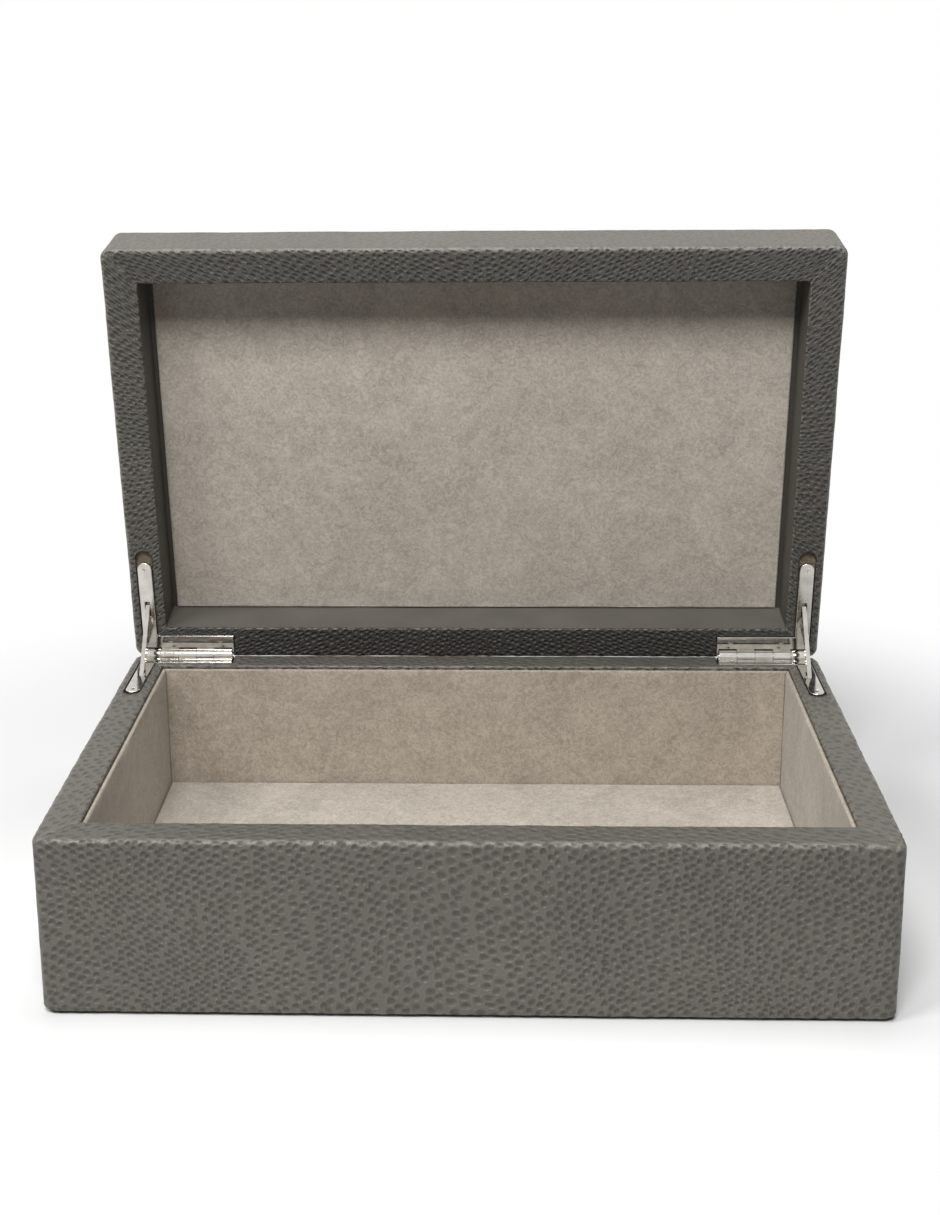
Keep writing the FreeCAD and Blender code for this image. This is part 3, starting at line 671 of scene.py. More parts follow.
def pit_layer(finish, vector, pitch):
    """Pits on a triangular lattice whose seeds are moved about.

    The lattice is found as squares in sheared units, s = x - y / sqrt(3) and t = 2 y / sqrt(3), and the way
    to the nearest seed is turned back: dx = ds + dt / 2 and dy = dt sqrt(3) / 2. Its length is divided by a
    radius that differs from pit to pit.
    """
    turned = finish.add("ShaderNodeMapping", None, Vector=vector, Rotation=(0, 0, math.radians(PIT_TURN)))
    x, y = finish.axes(turned[0])
    sheared = finish.add("ShaderNodeCombineXYZ", None, Y=finish.math("MULTIPLY", y, 2 / math.sqrt(3)),
                         X=finish.math("MULTIPLY_ADD", y, -1 / math.sqrt(3), x))[0]
    cells = finish.add("ShaderNodeTexVoronoi", {"voronoi_dimensions": "2D", "feature": "F1"},
                       Vector=sheared, Scale=1 / pitch, Randomness=PIT_STRAY)
    ds, dt = finish.axes(finish.vector_math("SUBTRACT", sheared, cells["Position"]))
    dx = finish.math("MULTIPLY_ADD", dt, 0.5, ds)
    dy = finish.math("MULTIPLY", dt, math.sqrt(3) / 2)
    distance = finish.math("SQRT", finish.math("MULTIPLY_ADD", dx, dx, finish.math("MULTIPLY", dy, dy)))
    draws = finish.add("ShaderNodeSeparateColor", None, Color=cells["Color"])
    small, large = (share * pitch for share in PIT_RADIUS)
    radius = finish.spread(draws["Red"], 0.0, 1.0, small, large, "LINEAR")
    shape = finish.curve(finish.math("DIVIDE", distance, radius), PIT_SHAPE)
    weight = finish.spread(draws["Green"], 0.0, 0.7, *PIT_WEIGHT)
    return finish.mix(weight, PIT_LEVEL, shape)


def leather_finish(finish, look):
    """Pebbled leather: evenly packed pits that drift in size, a fine grain, rubbed edges that are partly
    painted highlight, a painted highlight on the lips of the pits and painted shade on the rims.
    """
    uv = finish.add("ShaderNodeUVMap", {"uv_map": "UVMap"})["UV"]
    place = finish.place()
    wear, press, dye = (finish.add("ShaderNodeAttribute", {"attribute_name": name})["Fac"]
                        for name in ("wear", "press", "dye"))
    warped = finish.sway(finish.sway(uv, *PIT_DRIFT), *PIT_WOBBLE)
    pits = finish.mix(press, PIT_LEVEL, pit_layer(finish, warped, look.pit_pitch))
    grain = finish.noise(uv, 0.8 * MM, 3.0, 0.6)
    height = finish.math("ADD", pits, finish.math("MULTIPLY", grain, 0.16))
    tone = finish.spread(finish.noise(place, 30 * MM, 3.0), 0.3, 0.7, 0.93, 1.07, "LINEAR")
    # Painted shade: the rims are drawn darker, most of all the lid's back rim by the hinge
    tone = finish.math("MULTIPLY", tone, dye)
    warm = finish.spread(finish.noise(place, 22 * MM, 2.0), 0.48, 0.66)
    sunk = finish.spread(pits, 0.0, PIT_LEVEL)
    # Painted highlight: the lips round the pits are drawn lighter
    painted_lip_highlight = finish.spread(pits, 0.90, 1.0, 1.0, 1.14)
    color = finish.blend(sunk, look.pit_color, finish.blend(warm, look.body_color, look.tint_color))
    color = finish.blend(1.0, color, finish.math("MULTIPLY", tone, painted_lip_highlight), "MULTIPLY")
    # Rubbed edges: partly real wear, partly a painted highlight where the rolls turn towards the light
    rubbed = finish.noise(place, 1.7 * MM, 2.0, 0.6)
    rub_and_highlight = finish.math("MULTIPLY", wear, finish.spread(rubbed, 0.34, 0.62, 0.1, 0.85))
    rub_and_highlight = finish.math("MULTIPLY", rub_and_highlight, sunk)
    color = finish.blend(rub_and_highlight, color, look.worn_and_highlight_color)
    roughness = finish.mix(sunk, 0.78, finish.spread(grain, 0.3, 0.7, 0.40, 0.54))
    finish.surface(Base_Color=color, Roughness=roughness, Specular_IOR_Level=0.5,
                   Normal=finish.bump(height, look.pit_depth))


def facing_finish(finish, base):
    """The smooth thin leather of the facings: soft mottling and a fine grain."""
    place = finish.place()
    broad = finish.noise(place, 18 * MM, 3.0)
    grain = finish.noise(place, 0.5 * MM, 3.0, 0.6)
    tone = finish.math("MULTIPLY", finish.spread(broad, 0.3, 0.7, 0.88, 1.08, "LINEAR"),
                       finish.spread(grain, 0.3, 0.7, 0.94, 1.04, "LINEAR"))
    color = finish.blend(1.0, base, tone, "MULTIPLY")
    roughness = finish.spread(grain, 0.3, 0.7, 0.5, 0.62)
    finish.surface(Base_Color=color, Roughness=roughness, Specular_IOR_Level=0.35,
                   Normal=finish.bump(grain, 0.05 * MM))


def suede_finish(finish, look, tone):
    """Brushed suede: short worm-like nap marks, strokes and broad patches of turned nap."""
    place = finish.place()
    marks = finish.noise(place, look.nap_size, 3.0, 0.62, 2.2)
    strokes = finish.noise(place, 6 * MM, 3.0, 0.6, 1.0)
    patches = finish.noise(place, 34 * MM, 4.0, 0.6, 1.2)
    nap = 0.0
    for noise, low, high, share in (
            (marks, 0.39, 0.61, 0.55), (strokes, 0.38, 0.62, 0.20), (patches, 0.38, 0.62, 0.25)):
        nap = finish.math("MULTIPLY_ADD", finish.spread(noise, low, high, shape="LINEAR"), share, nap)
    color = finish.blend(nap, look.shade_color, look.color)
    # The tone is painted shade on the upright boards and the floor pad, and white on the lid's panel
    color = finish.blend(1.0, color, tone, "MULTIPLY")
    fuzz = finish.noise(place, 0.35 * MM, 2.0)
    height = finish.math("MULTIPLY_ADD", marks, 0.7, finish.math("MULTIPLY", fuzz, 0.3))
    finish.surface(Base_Color=color, Roughness=0.95, Specular_IOR_Level=0.12, Sheen_Weight=0.25,
                   Sheen_Roughness=0.45, Normal=finish.bump(height, 0.2 * MM))


def nickel_finish(finish, look):
    """Polished nickel with faint smears and hairline scratches."""
    place = finish.place()
    smear = finish.noise(place, 5 * MM, 3.0)
    stretched = finish.add("ShaderNodeMapping", None, Vector=place, Scale=(1.0, 0.06, 0.06))[0]
    scratch = finish.noise(stretched, 0.12 * MM, 2.0)
    roughness = finish.spread(smear, 0.3, 0.7, look.roughness * 0.8, look.roughness * 1.5, "LINEAR")
    color = finish.blend(finish.spread(smear, 0.35, 0.65), look.color, look.smear_color)
    finish.surface(Base_Color=color, Metallic=1.0, Roughness=roughness,
                   Normal=finish.bump(scratch, 0.004 * MM))


def board_finish(finish, look):
    """Raw board that shows at the ends of the recesses: pressed fibres in two browns."""
    place = finish.place()
    stretched = finish.add("ShaderNodeMapping", None, Vector=place, Scale=(0.35, 1.0, 1.0))[0]
    fibre = finish.noise(stretched, 0.8 * MM, 4.0, 0.65)
    color = finish.blend(finish.spread(fibre, 0.3, 0.7), look.board_shade_color, look.board_color)
    finish.surface(Base_Color=color, Roughness=0.9, Specular_IOR_Level=0.2,
                   Normal=finish.bump(fibre, 0.1 * MM))


def felt_finish(finish, look):
    """Dark felt under the box: tangled fibres at two scales."""
    place = finish.place()
    fibre = finish.noise(place, 0.7 * MM, 4.0, 0.7, 2.0)
    clump = finish.noise(place, 9 * MM, 3.0)
    mixed = finish.math("MULTIPLY_ADD", fibre, 0.7, finish.math("MULTIPLY", clump, 0.3))
    color = finish.blend(finish.spread(mixed, 0.35, 0.65), look.felt_shade_color, look.felt_color)
    finish.surface(Base_Color=color, Roughness=1.0, Specular_IOR_Level=0.1, Sheen_Weight=0.3,
                   Normal=finish.bump(fibre, 0.25 * MM))


def get_finish(name, make, *details):
    """A material by its name, made the first time that it is asked for."""
    material = bpy.data.materials.get(name)
    if material is None:
        material = bpy.data.materials.new(name)
        make(Finish(material, "ShaderNodeOutputMaterial"), *details)
    return material


def paint(node, material):
    """Give a node of the frame a finish in its own slot."""
    obj = frame["nodes"][node]
    if not obj.material_slots:
        obj.data.materials.append(None)
    for slot in obj.material_slots:
        slot.material = material


# Coverings
BASE_SEED = 11
LID_SEED = 23

# Rows at the end of the base section and at the start of the lid section that lie against the boards
BASE_HIDDEN = 5
LID_HIDDEN = 3

# Where a rim starts on its outer roll: its inset and its fall, as shares of the roll's radius
RIM_START = 0.4
RIM_FALL = 0.3


def base_section(look):
    """Closed section of the base leather: under the wall, up, over the rim, down inside and back."""
    low, high = BASE_LOW[2], BASE_HIGH[2]
    edge, rim = look.edge_radius, look.rim_radius
    inside, end = WALL - SKIN, high - look.turn_in
    return join_rows(
        run((inside, low), (edge, low)),
        roll((edge, low + edge), edge, 270, 180, FOOT_WEAR),
        run((0, low + edge), (0, high - edge)),
        roll((edge, high - edge), edge, 180, 90),
        run((edge, high), (WALL - rim, high), RIM_STEP),
        roll((WALL - rim, high - rim), rim, 90, 0, RIM_WEAR, RIM_ROLL_ROWS),
        run((WALL, high - rim), (WALL, end)),
        [(inside, end, 0), (inside, high - SKIN, 0), (SKIN, high - SKIN, 0)],
        [(SKIN, low + SKIN, 0), (inside, low + SKIN, 0)],
    )


def lid_section(look):
    """Open section of the lid leather, drawn shut: behind the wall, over the rim, up and onto the top."""
    low, high = LID_LOW[2], LID_HIGH[2]
    edge, rim = look.edge_radius, look.rim_radius
    return join_rows(
        [(SKIN, high - SKIN, 0), (SKIN, low + SKIN, 0), (WALL, low + SKIN, 0)],
        roll((WALL - rim, low + rim), rim, 0, -90, RIM_WEAR, RIM_ROLL_ROWS),
        run((WALL - rim, low), (edge, low), RIM_STEP),
        roll((edge, low + edge), edge, 270, 180),
        run((0, low + edge), (0, high - edge)),
        roll((edge, high - edge), edge, 180, 90, TOP_WEAR),
        run((edge, high), (WALL, high)),
    )


def rim_rows(rows, level, look):
    """Rows that lie on the rim, between its two rolls."""
    inset = (rows[:, 0] > look.edge_radius * RIM_START) & (rows[:, 0] < WALL - TINY)
    return inset & (np.abs(rows[:, 1] - level) < look.edge_radius * RIM_FALL)


def side_shares(shape, starts, values):
    """One value for each side of the box, on all columns of that side."""
    share = np.ones(shape)
    for start, end, side in zip(starts[:-1], starts[1:], SIDES):
        share[start:end] = values[side]
    return share


# How the pattern is scaled along and across the rims, on the short and on the long sides
BASE_RIM_SCALE = ((0.70, 0.94), (0.70, 0.94))
LID_RIM_SCALE = ((1.35, 1.1), (1.15, 1.45))

# Painted shade: how light the leather is drawn on the rims, against the walls, darkest on the lid's back rim
# by the hinge
BASE_RIM_PAINTED_SHADE = {"left": 1.0, "front": 0.84, "right": 1.0, "back": 1.0}
LID_RIM_PAINTED_SHADE = {"left": 0.76, "front": 0.60, "right": 0.66, "back": 0.33}

# How deep the pits are on the rims of the base and on the walls of the lid, and how worn the mitres are
BASE_RIM_PRESS = 0.75
LID_WALL_PRESS = 0.35
MITRE_WEAR = 0.6
TOP_FADE = 12 * MM


class KEEPSAKE_OT_base_leather(bpy.types.Operator):
    """Cover the walls of the base in pebbled leather"""

    bl_idname = "keepsake.base_leather"
    bl_label = "Cover Base"

    def execute(self, context):
        look = context.scene.keepsake_leather
        rows = base_section(look)
        hidden = np.arange(len(rows)) >= len(rows) - BASE_HIDDEN
        on_rim = rim_rows(rows, BASE_HIGH[2], look) & ~hidden
        points, lengths, starts = wrap_ring(rows, look.corner_radius)
        lift = stretch_leather(points, rows, on_rim, look, BASE_SEED) * ~hidden
        points = points + outward(points) * lift[:, :, None]
        faces = tube_quads(len(points), len(rows), True, True)
        leather = get_finish("pebbled_leather", leather_finish, look)
        obj = make_object("base_leather", points.reshape(-1, 3), faces.tolist(), leather)
        uv = ring_uv(rows, lengths, True, on_rim, BASE_RIM_SCALE, look.stretch)
        shape = points.shape[:2]
        leather_attributes(obj.data, uv, {
            "wear": np.maximum(rows[:, 2], MITRE_WEAR * mitre_crease(points) * on_rim),
            "press": np.broadcast_to(np.where(on_rim, BASE_RIM_PRESS, 1.0), shape),
            # Painted shade on the rims of the base, darkest on its front rim
            "dye": np.where(on_rim, side_shares(shape, starts, BASE_RIM_PAINTED_SHADE), 1.0),
        })
        cut_mortises(obj, look.base_mortise, False)
        dress(obj, "base", "leather", "base_leather_wrap")
        return {"FINISHED"}


def lid_top(points, starts):
    """Fill the top of the lid with a grid that shares the last row of the ring as its edge."""
    columns, rows = points.shape[:2]
    ring = np.arange(columns) * rows + rows - 1
    left, front, right, back = (np.take(ring, np.arange(a, b + 1), mode="wrap")
                                for a, b in zip(starts[:-1], starts[1:]))
    grid = np.full((len(right), len(front)), -1)
    inner = (len(right) - 2, len(front) - 2)
    grid[1:-1, 1:-1] = columns * rows + np.arange(inner[0] * inner[1]).reshape(inner)
    grid[0, :] = front
    grid[:, -1] = right
    grid[-1, :] = back[::-1]
    grid[:, 0] = left[::-1]
    flat = points.reshape(-1, 3)
    x, y = np.meshgrid(flat[front[1:-1], 0], flat[right[1:-1], 1])
    z = np.full_like(x, LID_HIGH[2])
    fill = np.stack([x, y, z], axis=2).reshape(-1, 3)
    return fill, grid_quads(grid)


class KEEPSAKE_OT_lid_leather(bpy.types.Operator):
    """Cover the lid in pebbled leather"""

    bl_idname = "keepsake.lid_leather"
    bl_label = "Cover Lid"

    def execute(self, context):
        look = context.scene.keepsake_leather
        rows = lid_section(look)
        hidden = np.arange(len(rows)) < LID_HIDDEN
        on_rim = rim_rows(rows, LID_LOW[2], look) & ~hidden
        points, lengths, starts = wrap_ring(rows, look.corner_radius)
        lift = stretch_leather(points, rows, on_rim, look, LID_SEED) * ~hidden
        fade = np.ones(len(rows))
        fade[-1] = 0
        shaped = points + outward(points) * (lift * fade)[:, :, None]
        fill, quads = lid_top(shaped, starts)
        fill[:, 2] += look.ripple * plane_waves(fill, BROAD_WAVE, LID_SEED) * edge_fade(fill)
        faces = tube_quads(len(points), len(rows), True, False)
        under = (np.arange(len(points)) * len(rows))[::-1]
        everything = np.vstack([shaped.reshape(-1, 3), fill])
        leather = get_finish("pebbled_leather", leather_finish, look)
        obj = make_object("lid_leather", swing(everything, -OPEN_TURN),
                          faces.tolist() + quads.tolist() + [under.tolist()], leather)
        top_uv = everything[quads.ravel(), :2] + [TOP_ISLAND, 0]
        under_uv = everything[under, :2] + [FOOT_ISLAND, 0]
        ring = ring_uv(rows, lengths, False, on_rim, LID_RIM_SCALE, look.stretch)
        uv = np.vstack([ring, top_uv, under_uv])
        shape = points.shape[:2]
        on_wall = (rows[:, 0] < look.edge_radius) & ~on_rim & ~hidden
        # Painted shade on the rims of the lid
        rim_painted_shade = side_shares(shape, starts, LID_RIM_PAINTED_SHADE)
        shares = {
            "wear": (np.maximum(rows[:, 2], MITRE_WEAR * mitre_crease(points) * on_rim), 0.0),
            "press": (np.broadcast_to(np.where(on_wall, LID_WALL_PRESS, 1.0), shape), 1.0),
            "dye": (np.where(on_rim, rim_painted_shade, 1.0), 1.0),
        }
        shares = {name: np.append(ring, np.full(len(fill), top)) for name, (ring, top) in shares.items()}
        leather_attributes(obj.data, uv, shares)
        cut_mortises(obj, look.lid_mortise, True)
        dress(obj, "lid", "leather", "lid_leather_wrap")
        return {"FINISHED"}


def edge_fade(points):
    """0 at the edge of the lid's top grid and 1 well inside it."""
    room = np.minimum(HALF[0] - WALL - np.abs(points[:, 0]), HALF[1] - WALL - np.abs(points[:, 1]))
    return np.clip(room / TOP_FADE, 0, 1)


# Boards of the lining
STRIP_WAVE = 30 * MM
STRIP_WAVE_HEIGHT = 0.05 * MM
PAD_WAVE = 26 * MM
PAD_WAVE_HEIGHT = 0.06 * MM
PAD_COLUMNS = 121
PAD_ROLL_STEPS = 7
PAD_SMOOTH_ANGLE = 50
LINING_GAP = 0.25 * MM
FACING_GAP = 0.03 * MM
LINING_SEED = 31
FLOOR_SEED = 41
FACING_SEED = 51
PANEL_SEED = 61


def strip_section(near, far, low, high, edge):
    """Closed section of an upright strip: up its back, over two rolled edges and down its face."""
    return join_rows(
        run((near, low), (near, high - edge), BACK_STEP),
        roll((near + edge, high - edge), edge, 180, 90, count=SUEDE_ROLL_ROWS),
        roll((far - edge, high - edge), edge, 90, 0, count=SUEDE_ROLL_ROWS),
        run((far, high - edge), (far, low)),
    )


def ledge_section(near, far, low, high, ledge, rise):
    """Closed section of a facing with a low ledge at its top, which lies under the edge of the panel."""
    return join_rows(
        run((near, low), (near, high), BACK_STEP),
        run((near, high), (far + ledge, high)),
        run((far + ledge, high), (far + ledge, high - rise)),
        run((far + ledge, high - rise), (far, high - rise)),
        run((far, high - rise), (far, low)),
    )


def strip(name, side, rows, end_gap, material, seed, on_lid=False):
    """Carry a section along one side between mitres: a = t (half - inset - gap), with closed ends."""
    half, out = side_half(side)
    t = gathered(LONG_COLUMNS // 2, STRIP_GATHER)
    face = rows[-1, 0]
    reach = half - np.minimum(rows[:, 0], face) - end_gap
    along = t[:, None] * reach
    x, y = face_side(side, along, np.broadcast_to(out - rows[:, 0], along.shape))
    points = np.stack([x, y, np.broadcast_to(rows[:, 1], x.shape)], axis=2)
    count = len(rows)
    facing = np.abs(rows[:, 0] - face) < TINY
    wave = plane_waves(points.reshape(-1, 3), STRIP_WAVE, seed).reshape(x.shape) * STRIP_WAVE_HEIGHT * facing
    nudge_x, nudge_y = face_side(side, np.zeros_like(wave), -wave)
    points = points + np.stack([nudge_x, nudge_y, np.zeros_like(wave)], axis=2)
    first = np.arange(count)
    last = first + (len(t) - 1) * count
    faces = tube_quads(len(t), count, False, True).tolist() + [first.tolist(), last[::-1].tolist()]
    points = points.reshape(-1, 3)
    return make_object(name, swing(points, -OPEN_TURN) if on_lid else points, faces, material)


def pad(name, halves, levels, look, material, seed, on_lid=False):
    """A covered board with a rolled edge and a slight crown.

    z = top - r + sqrt(r^2 - (r - q)^2) + crown (1 - x^2)(1 - y^2), where q is the distance from the edge, up
    to r, and x and y are shares of the half sizes. On the lid, the face looks down.
    """
    half_x, half_y = halves
    low, high = levels
    edge = look.roll
    t = gathered(PAD_COLUMNS, PAD_GATHER)
    rims = edge * (1 - np.sin(np.linspace(0, np.pi / 2, PAD_ROLL_STEPS)))[:0:-1]
    x, y = np.meshgrid(*(np.concatenate([rims - half, t * (half - edge), (half - rims)[::-1]])
                         for half in halves))
    q = np.minimum(half_x - np.abs(x), half_y - np.abs(y))
    inward = np.clip(edge - q, 0, edge)
    fall = edge - np.sqrt(np.maximum(edge ** 2 - inward ** 2, 0))
    rise = look.crown * (1 - (x / half_x) ** 2) * (1 - (y / half_y) ** 2)
    flat = np.stack([x, y, np.zeros_like(x)], axis=2).reshape(-1, 3)
    wave = plane_waves(flat, PAD_WAVE, seed).reshape(x.shape) * PAD_WAVE_HEIGHT * (q > edge)
    z = high - fall + rise + wave
    ny, nx = x.shape
    grid = np.arange(nx * ny).reshape(ny, nx)
    loop = np.concatenate([grid[0, :-1], grid[:-1, -1], grid[-1, :0:-1], grid[:0:-1, 0]])
    points = np.stack([x, y, z], axis=2).reshape(-1, 3)
    foot = points[loop] * [1, 1, 0] + [0, 0, low]
    below = np.arange(len(loop)) + nx * ny
    walls = np.column_stack([below, np.roll(below, -1), np.roll(loop, -1), loop])
    faces = grid_quads(grid).tolist() + walls.tolist() + [below[::-1].tolist()]
    points = np.vstack([points, foot])
    if on_lid:
        points = swing(points * [1, 1, -1] + [0, 0, low + high], -OPEN_TURN)
        faces = [face[::-1] for face in faces]
    return make_object(name, points, faces, material, PAD_SMOOTH_ANGLE)


class KEEPSAKE_OT_base_lining(bpy.types.Operator):
    """Line the base with four suede boards and a floor pad"""

    bl_idname = "keepsake.base_lining"
    bl_label = "Line Base"

    def execute(self, context):
        look = context.scene.keepsake_suede
        # Painted shade: darker copies of the suede for the floor pad and the upright boards
        flat = get_finish("flat_suede", suede_finish, look, look.floor_painted_shade)
        upright = get_finish("upright_suede", suede_finish, look, look.wall_painted_shade)
        thick = LINING_HIGH[1] - LINING_LOW[1]
        rows = strip_section(WALL, WALL + thick, LINING_LOW[2], LINING_HIGH[2], look.roll)
        for seed, side in enumerate(SIDES, start=LINING_SEED):
            obj = strip(f"suede_{side}", side, rows, LINING_GAP, upright, seed)
            dress(obj, "base", "suede", f"lining_{side}")
        levels = (FLOOR_LOW[2], FLOOR_HIGH[2])
        floor = pad("suede_floor", FLOOR_HIGH[:2], levels, look, flat, FLOOR_SEED)
        dress(floor, "base", "suede", "lining_floor")
        return {"FINISHED"}


class KEEPSAKE_OT_lid_lining(bpy.types.Operator):
    """Line the lid with four leather facings and a suede panel"""

    bl_idname = "keepsake.lid_lining"
    bl_label = "Line Lid"

    def execute(self, context):
        look = context.scene.keepsake_suede
        leather = context.scene.keepsake_leather
        long_facing = get_finish("smooth_leather", facing_finish, leather.facing_color)
        # Painted shade: the side facings and their ledges get a darker copy of the smooth leather
        short_facing = get_finish("dark_smooth_leather", facing_finish, leather.painted_shade_side_facing_color)
        low, high = FACING_LOW[2], FACING_HIGH[2]
        long_rows = strip_section(WALL - SKIN, WALL, low, high, SKIN / 3)
        short_rows = ledge_section(WALL - SKIN, WALL, low, PANEL_HIGH[2], look.panel_gap, look.ledge)
        for seed, side in enumerate(SIDES, start=FACING_SEED):
            short = side in ("left", "right")
            facing, rows = (short_facing, short_rows) if short else (long_facing, long_rows)
            obj = strip(f"facing_{side}", side, rows, FACING_GAP, facing, seed, on_lid=True)
            dress(obj, "lid", "leather", f"lid_{side}_facing")
        suede = get_finish("brushed_suede", suede_finish, look, WHITE)
        halves = (HALF[0] - WALL - look.panel_gap, PANEL_HIGH[1])
        levels = (PANEL_LOW[2], PANEL_HIGH[2])
        panel = pad("suede_panel", halves, levels, look, suede, PANEL_SEED, on_lid=True)
        dress(panel, "lid", "suede", "lid_lining")
        return {"FINISHED"}


BOARDS = ("front_board", "back_board", "left_board", "right_board")
HINGE_PIECES = ("lower_leaf", "upper_leaf", "hinge_pin", "stay", "stay_rivet", "stop_pin")


class KEEPSAKE_OT_boards(bpy.types.Operator):
    """Finish the raw boards and the felt underside"""

    bl_idname = "keepsake.boards"
    bl_label = "Finish Boards"

    def execute(self, context):
        look = context.scene.keepsake_backing
        raw = get_finish("raw_board", board_finish, look)
        for piece in BOARDS:
            paint(f"base_{piece}", raw)
            paint(f"lid_{piece}", raw)
        paint("base_bottom_board", raw)
        paint("lid_top_board", raw)
        paint("underside_cover", get_finish("dark_felt", felt_finish, look))
        return {"FINISHED"}


class KEEPSAKE_OT_hinges(bpy.types.Operator):
    """Polish the hinges, their stays and their screws"""

    bl_idname = "keepsake.hinges"
    bl_label = "Polish Hinges"

    def execute(self, context):
        nickel = get_finish("polished_nickel", nickel_finish, context.scene.keepsake_metal)
        for hand in ("left", "right"):
            for piece in HINGE_PIECES:
                paint(f"{hand}_{piece}", nickel)
        paint("lower_screws", nickel)
        paint("upper_screws", nickel)
        return {"FINISHED"}


# Stage
CAMERA_PLACE = (12.9 * MM, -643.5 * MM, 338.2 * MM)
CAMERA_PITCH = 15.431
CAMERA_YAW = 2.016
CAMERA_ROLL = -0.517
FOCAL_PIXELS = 1772.4
CENTRE_PIXEL = (443.5, 508.5)
SENSOR = 36.0
FLOOR_HALF = 4.0
AIM = Vector((0, 0, 0.1))
LAMP_DISTANCE = 1.5

# Azimuth and elevation of each lamp in degrees, then its width and height in metres
LAMPS = {"key": (-5, 52, 0.60, 0.45), "side": (-55, 45, 0.50, 0.50), "top": (0, 95, 0.80, 0.45)}

# Where the pale sheet starts and ends to go over into the white room
SHEET_EDGE = (0.21, 0.42)
MOTTLE_SIZE = 0.2
MOTTLE_COLOR = (0.8, 0.8, 0.8, 1)
FLOOR_POINTS = 9


def add_camera(scene):
    """A level camera turned down by its pitch, about the upright by its yaw, and about its own axis."""
    data = bpy.data.cameras.new("camera")
    width, height = PHOTO_SIZE
    data.sensor_width = SENSOR
    data.lens = FOCAL_PIXELS / height * SENSOR
    data.shift_x = (width / 2 - CENTRE_PIXEL[0]) / height
    data.shift_y = (CENTRE_PIXEL[1] - height / 2) / height
    camera = bpy.data.objects.new("camera", data)
    turn = Matrix.Rotation(math.radians(CAMERA_YAW), 4, "Z")
    tilt = Matrix.Rotation(math.radians(90 - CAMERA_PITCH), 4, "X")
    lean = Matrix.Rotation(math.radians(CAMERA_ROLL), 4, "Z")
    camera.matrix_world = Matrix.Translation(CAMERA_PLACE) @ turn @ tilt @ lean
    scene.collection.objects.link(camera)
    scene.camera = camera


def add_lamp(scene, name, power, azimuth, elevation, width, height):
    """A soft rectangular lamp that looks at the middle of the box from an azimuth and an elevation."""
    data = bpy.data.lights.new(name, "AREA")
    data.shape = "RECTANGLE"
    data.size, data.size_y = width, height
    data.energy = power
    lamp = bpy.data.objects.new(name, data)
    a, e = math.radians(azimuth), math.radians(elevation)
    away = Vector((math.sin(a) * math.cos(e), -math.cos(a) * math.cos(e), math.sin(e)))
    lamp.location = AIM + away * LAMP_DISTANCE
    lamp.rotation_euler = (-away).to_track_quat("-Z", "Y").to_euler()
    scene.collection.objects.link(lamp)


def add_world(scene, look):
    """A white room for what is seen directly, and a dimmer one as light."""
    scene.world = bpy.data.worlds.new("studio")
    room = Finish(scene.world, "ShaderNodeOutputWorld")
    light, shown = (room.add("ShaderNodeBackground", None, Color=WHITE, Strength=strength)[0]
                    for strength in (look.ambient, 1.0))
    room.show(room.either(room.seen_directly(), light, shown))


def floor_finish(finish, look):
    """A pale sheet that keeps the shadow: away from the box it is white to the eye and dark as light."""
    place = finish.place()
    distance = finish.add("ShaderNodeVectorMath", {"operation": "LENGTH"}, Vector=place)["Value"]
    mottle = finish.noise(place, MOTTLE_SIZE, 3.0)
    pale = finish.blend(finish.spread(mottle, 0.3, 0.7, 0.0, 0.04), look.floor_color, MOTTLE_COLOR)
    away = finish.spread(distance, *SHEET_EDGE)
    sheet, lit = (finish.add("ShaderNodeBsdfDiffuse", None, Color=color)[0]
                  for color in (pale, finish.blend(away, pale, look.room_color)))
    white = finish.add("ShaderNodeEmission", None, Color=WHITE, Strength=1.0)[0]
    finish.show(finish.either(finish.seen_directly(), lit, finish.either(away, sheet, white)))


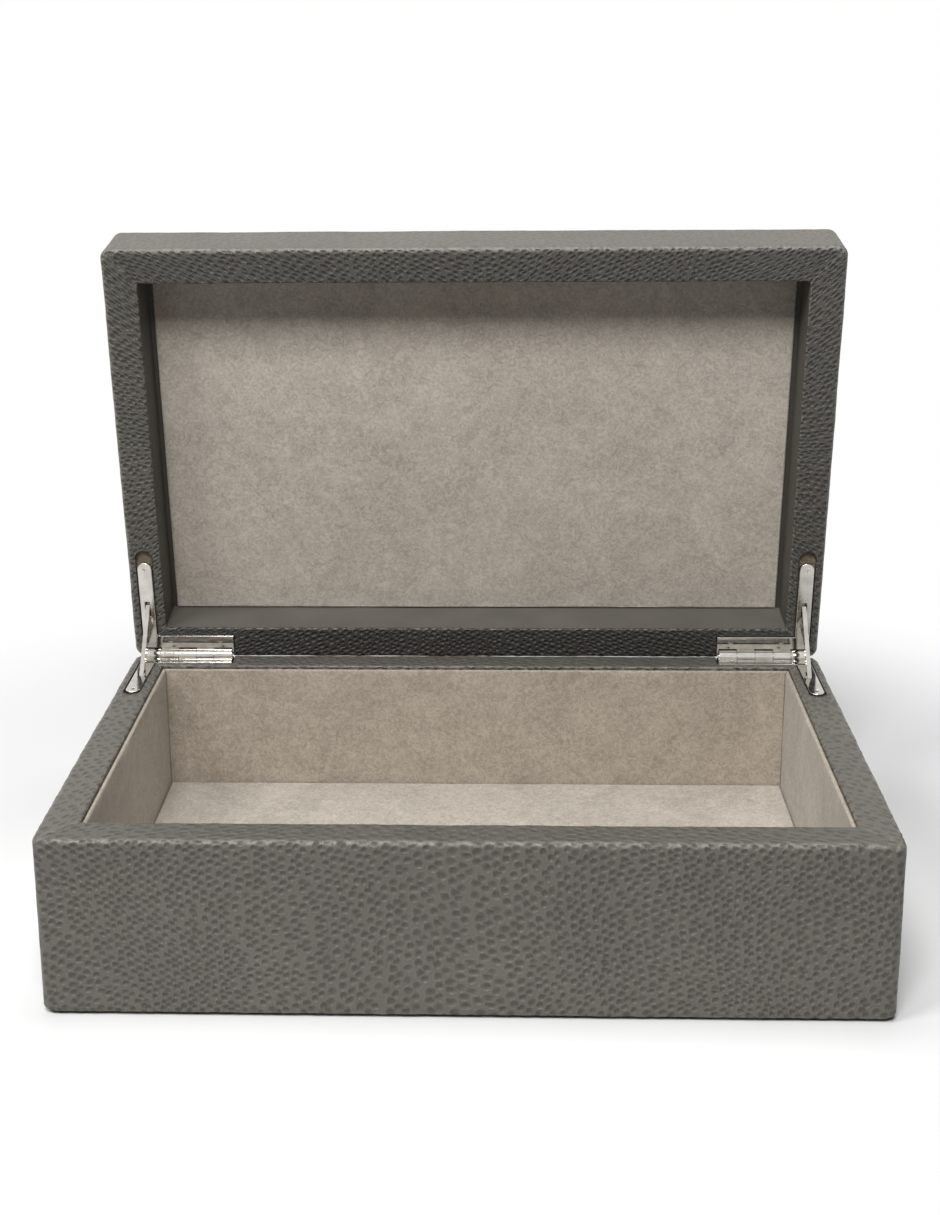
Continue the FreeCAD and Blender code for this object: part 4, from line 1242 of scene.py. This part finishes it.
class KEEPSAKE_OT_stage(bpy.types.Operator):
    """Set the floor, the lamps, the room and the camera"""

    bl_idname = "keepsake.stage"
    bl_label = "Set Stage"

    def execute(self, context):
        scene = context.scene
        look = scene.keepsake_stage
        t = np.linspace(-FLOOR_HALF, FLOOR_HALF, FLOOR_POINTS)
        x, y = np.meshgrid(t, t)
        quads = grid_quads(np.arange(x.size).reshape(x.shape))
        points = np.column_stack([x.ravel(), y.ravel(), np.zeros(x.size)])
        sheet = get_finish("pale_floor", floor_finish, look)
        make_object("floor", points, quads.tolist(), sheet)
        add_world(scene, look)
        for name, place in LAMPS.items():
            add_lamp(scene, f"{name}_lamp", getattr(look, f"{name}_power"), *place)
        add_camera(scene)
        scene.view_settings.view_transform = "Standard"
        return {"FINISHED"}


class KEEPSAKE_PT_pieces(bpy.types.Panel):
    """The pieces of the box and their looks"""

    bl_idname = "KEEPSAKE_PT_pieces"
    bl_label = "Keepsake Box"
    bl_space_type = "VIEW_3D"
    bl_region_type = "UI"
    bl_category = "Keepsake"

    def draw(self, context):
        layout = self.layout
        for operator in OPERATORS:
            layout.operator(operator.bl_idname)
        for key in LOOKS:
            look = getattr(context.scene, key)
            column = layout.column(align=True)
            for name in look.__annotations__:
                column.prop(look, name)


LOOKS = {
    "keepsake_leather": LeatherLook,
    "keepsake_suede": SuedeLook,
    "keepsake_metal": MetalLook,
    "keepsake_backing": BackingLook,
    "keepsake_stage": StageLook,
}
OPERATORS = (
    KEEPSAKE_OT_base_leather,
    KEEPSAKE_OT_lid_leather,
    KEEPSAKE_OT_base_lining,
    KEEPSAKE_OT_lid_lining,
    KEEPSAKE_OT_boards,
    KEEPSAKE_OT_hinges,
    KEEPSAKE_OT_stage,
)


def register():
    for cls in (*LOOKS.values(), *OPERATORS, KEEPSAKE_PT_pieces):
        bpy.utils.register_class(cls)
    for key, cls in LOOKS.items():
        setattr(bpy.types.Scene, key, PointerProperty(type=cls))


def unregister():
    for key in LOOKS:
        delattr(bpy.types.Scene, key)
    for cls in (KEEPSAKE_PT_pieces, *OPERATORS[::-1], *LOOKS.values()):
        bpy.utils.unregister_class(cls)


def main():
    register()
    for operator in OPERATORS:
        group, name = operator.bl_idname.split(".")
        getattr(getattr(bpy.ops, group), name)()


if __name__ == "__main__":
    main()
